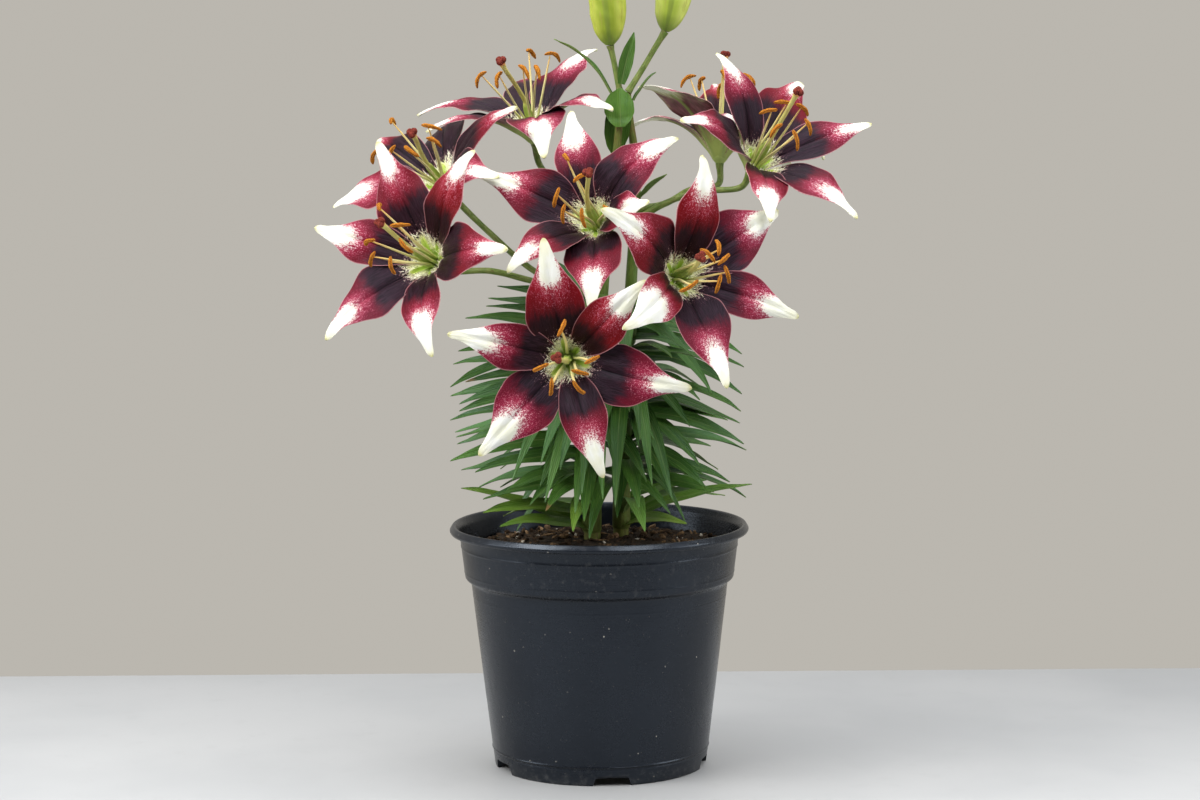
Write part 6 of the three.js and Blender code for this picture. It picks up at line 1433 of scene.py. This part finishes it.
# ------------------------------------------------------------------ potting mix
rng_ = np.random.default_rng(12)
bag = Bag()
nr, na = 120, 240
stems_xy = np.array([stem_at('left', 128)[0][:2], stem_at('right', 128)[0][:2]])


def soil_height(x, y):
    r = np.hypot(x, y)
    h = np.interp(r, [0, 40, 76], [130, 128.4, 124.5])
    p = np.stack([x, y, 0 * x], -1).reshape(-1, 3)
    h = h + (1.5 * noise(p / 14.0, 3, 3) + 0.95 * noise(p / 4.6, 9, 3) + 0.55 * np.abs(noise(p / 1.9, 15, 2))).reshape(x.shape) * (1 - 0.5 * smooth(r, 68, 76))
    for sx, sy in stems_xy:
        q = np.hypot(x - sx, y - sy)
        h = h + 1.0 * np.exp(-((q - 7) / 4.0) ** 2) - 0.8 * np.exp(-(q / 5.0) ** 2)
    return h - 0.6


edge = 76.6
rad_ = edge * np.linspace(0.0, 1, nr + 1)[1:] ** 0.85
A = 2 * np.pi * np.arange(na) / na
R, AA = np.meshgrid(rad_, A, indexing='ij')
X, Y = R * np.cos(AA), R * np.sin(AA)
H = soil_height(X, Y)
top_pts = np.stack([X, Y, H], -1)
# the side follows the pot's inner wall down to its floor
side_r = [(76.6, 124.0), (74.9 - .1, 112), (74.2, 110.4), (72.0, 108.3), (71.0, 104.3), (60.1, 11), (59.1, 5.4), (28.8, 5.4), (26.3, 2.1)]
side_pts = np.stack([[[r * math.cos(a), r * math.sin(a), z] for a in A] for r, z in side_r])
allp = np.vstack([top_pts.reshape(-1, 3), side_pts.reshape(-1, 3), [[0, 0, float(soil_height(np.zeros(1), np.zeros(1))[0])]], [[0, 0, 2.1]]])
rows_n = nr + len(side_r)
j = np.arange(na)
k = (j + 1) % na
c0 = rows_n * na
tri = np.vstack([np.stack([np.full(na, c0), j, k], -1), np.stack([np.full(na, c0 + 1), (rows_n - 1) * na + k, (rows_n - 1) * na + j], -1)])
bag.add(allp, grid(rows_n, na, wrap=True, flip=True), tri, mat=0)


def lumps(bag, count, size, squash, mat, seed, rmax=74.0, rmin=0.0, lift=0.2, tilt=0.5):
    """Broken bits lying on the surface: each a rough box with its corners pulled about."""
    r = np.random.default_rng(seed)
    base = np.array([[x, y, z] for z in (-1, 1) for y in (-1, 1) for x in (-1, 1)], float) * 0.5
    # a boxy grid of six rings of seven points, each point pushed about at random, keeps the silhouette uneven
    for i in range(count):
        rho = math.sqrt(r.uniform((rmin / rmax) ** 2, 1)) * rmax
        th = r.uniform(0, 2 * math.pi)
        x, y = rho * math.cos(th), rho * math.sin(th)
        if min(math.hypot(x - sx, y - sy) for sx, sy in stems_xy) < 6.5:
            continue
        sz = np.array([r.uniform(*size), 0, 0])
        sz[1] = sz[0] * r.uniform(*squash)
        sz[2] = sz[1] * r.uniform(0.35, 0.9)
        nu, nv = 6, 7
        tt = np.linspace(0, np.pi, nu)
        gg = 2 * np.pi * np.arange(nv) / nv
        T, G = np.meshgrid(tt, gg, indexing='ij')
        q = np.stack([np.cos(T), np.sin(T) * np.cos(G), np.sin(T) * np.sin(G)], -1)
        q = np.sign(q) * np.abs(q) ** 0.6
        q = q * (1 + 0.22 * r.uniform(-1, 1, q.shape))
        q[0], q[-1] = q[0].mean(0), q[-1].mean(0)
        q = q * sz / 2
        yaw, pit, rol = r.uniform(0, 2 * math.pi), r.normal(0, tilt), r.normal(0, tilt)
        m = np.array(Matrix.Rotation(yaw, 3, 'Z') @ Matrix.Rotation(pit, 3, 'Y') @ Matrix.Rotation(rol, 3, 'X'))
        q = q @ m.T
        z = float(soil_height(np.array([x]), np.array([y]))[0])
        q = q + [x, y, z + sz[2] * lift]
        out = np.hypot(q[..., 0], q[..., 1])
        lim = 76.3
        q[..., :2] *= np.minimum(1, lim / np.maximum(out, 1e-6))[..., None]
        bag.add(q.reshape(-1, 3), grid(nu, nv, wrap=True, flip=False), mat=mat, ta=np.stack([(T * sz[0]).ravel(), (G / 6.28).ravel() , np.full(T.size, r.uniform(0, 1))], -1))


lumps(bag, 340, (2.0, 5.2), (0.35, 0.8), 1, 21)
lumps(bag, 150, (5.0, 11.0), (0.12, 0.35), 1, 22, tilt=0.3)
lumps(bag, 260, (1.2, 2.6), (0.6, 1.0), 0, 23)
lumps(bag, 36, (1.2, 2.8), (0.6, 1.0), 2, 24)
bag.build('loose_potting_mix', [soil_mat, chip_mat, grain_mat], ['potting_soil'], sharp=0)

# ------------------------------------------------------------------ floor, light and camera
m = Mat('floor_finish_and_painted_shade', Roughness=0.55)
p = m.place()
a = m.noise(p, 0.004, 4, 0.55)
b = m.noise(p, 0.06, 4, 0.6)
col = m.mix(m.rng(a, 0.35, 0.65), (0.515, 0.522, 0.528), (0.575, 0.578, 0.580))
col = m.mix(m.rng(b, 0.55, 0.75, 0.0, 0.25), col, (0.49, 0.49, 0.49))
px, py, pz = m.split(p)
# painted shade: the floor darkens in front of the pot, a dark patch that the glossy pot reflects, standing in for the
# dim room in front
col = m.mix(m.rng(m.add(py, m.mul(a, 60.0)), -100.0, -420.0, 0.0, 0.85), col, (0.270, 0.272, 0.275))
m.set(Base_Color=col, Normal=m.bump(b, 0.0002, 0.3))
bag = Bag()
x0, x1, y0, y1, z0, z1 = -1500, 1500, -1700, 249, -40, 0
v = [[x, y, z] for z in (z0, z1) for y in (y0, y1) for x in (x0, x1)]
bag.add(v, [[0, 2, 3, 1], [4, 5, 7, 6], [0, 1, 5, 4], [1, 3, 7, 5], [3, 2, 6, 7], [2, 0, 4, 6]])
bag.build('pale_floor', [m.m], (), sharp=0, stage=True)

scene = bpy.context.scene
world = bpy.data.worlds.new('soft_studio')
scene.world = world
world.use_nodes = True
bg = world.node_tree.nodes['Background']
wt = world.node_tree
where = wt.nodes.new('ShaderNodeTexCoord')
parts = wt.nodes.new('ShaderNodeSeparateXYZ')
wt.links.new(where.outputs['Generated'], parts.inputs[0])


def world_range(value, a, b):
    n = wt.nodes.new('ShaderNodeMapRange')
    n.interpolation_type = 'SMOOTHSTEP'
    wt.links.new(value, n.inputs[0])
    n.inputs[1].default_value, n.inputs[2].default_value = a, b
    return n.outputs[0]


def world_mix(f, a, b):
    n = wt.nodes.new('ShaderNodeMix')
    n.data_type = 'RGBA'
    wt.links.new(f, n.inputs[0])
    for s, v in ((n.inputs[6], a), (n.inputs[7], b)):
        if isinstance(v, tuple):
            s.default_value = v + (1,)
        else:
            wt.links.new(v, s)
    return n.outputs[2]


# a pale wall behind, a dimmer room in front, daylight from above
room = world_mix(world_range(parts.outputs[1], -0.55, 0.25), (0.155, 0.155, 0.160), (0.495, 0.472, 0.428))
sky = world_mix(world_range(parts.outputs[2], 0.35, 0.95), room, (0.62, 0.66, 0.72))
wt.links.new(sky, bg.inputs['Color'])
bg.inputs['Strength'].default_value = 1.0


def area(name, where, look, size, power, colour=(1, 1, 1)):
    light = bpy.data.lights.new(name, 'AREA')
    light.shape, light.size, light.energy, light.color = 'SQUARE', size, power, colour
    ob = bpy.data.objects.new(name, light)
    ob.location = where
    ob.rotation_euler = (Vector(look) - Vector(where)).to_track_quat('-Z', 'Y').to_euler()
    scene.collection.objects.link(ob)


area('key', (-1.45, -0.95, 1.85), (0, 0, 0.3), 1.3, 58, (1.0, 0.99, 0.965))
area('fill', (0.9, -1.45, 1.95), (0, 0, 0.3), 1.3, 34, (1.0, 0.99, 0.975))
area('top', (0.1, 0.1, 2.1), (0, 0, 0.25), 1.6, 26, (0.97, 0.985, 1.0))
area('right', (1.75, -0.45, 0.75), (0, 0, 0.2), 0.9, 13, (0.93, 0.965, 1.0))
area('left', (-1.75, -0.35, 0.75), (0, 0, 0.2), 0.9, 11, (0.93, 0.965, 1.0))

cam = bpy.data.cameras.new('view')
cam.lens, cam.sensor_width, cam.clip_end = 85, 36, 60
cam.dof.use_dof = False
ob = bpy.data.objects.new('view', cam)
scene.collection.objects.link(ob)
pitch, roll = math.radians(6.25), math.radians(0.4)
fwd = Vector((0, math.cos(pitch), -math.sin(pitch)))
right = Vector((1, 0, 0))
up = right.cross(fwd)
right2 = math.cos(roll) * right - math.sin(roll) * up
up2 = math.sin(roll) * right + math.cos(roll) * up
mat = Matrix((right2, up2, -fwd)).transposed().to_4x4()
mat.translation = Vector((0.001, -1.596, 0.3834))
ob.matrix_world = mat
scene.camera = ob
scene.view_settings.view_transform = 'Standard'

lo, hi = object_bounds()
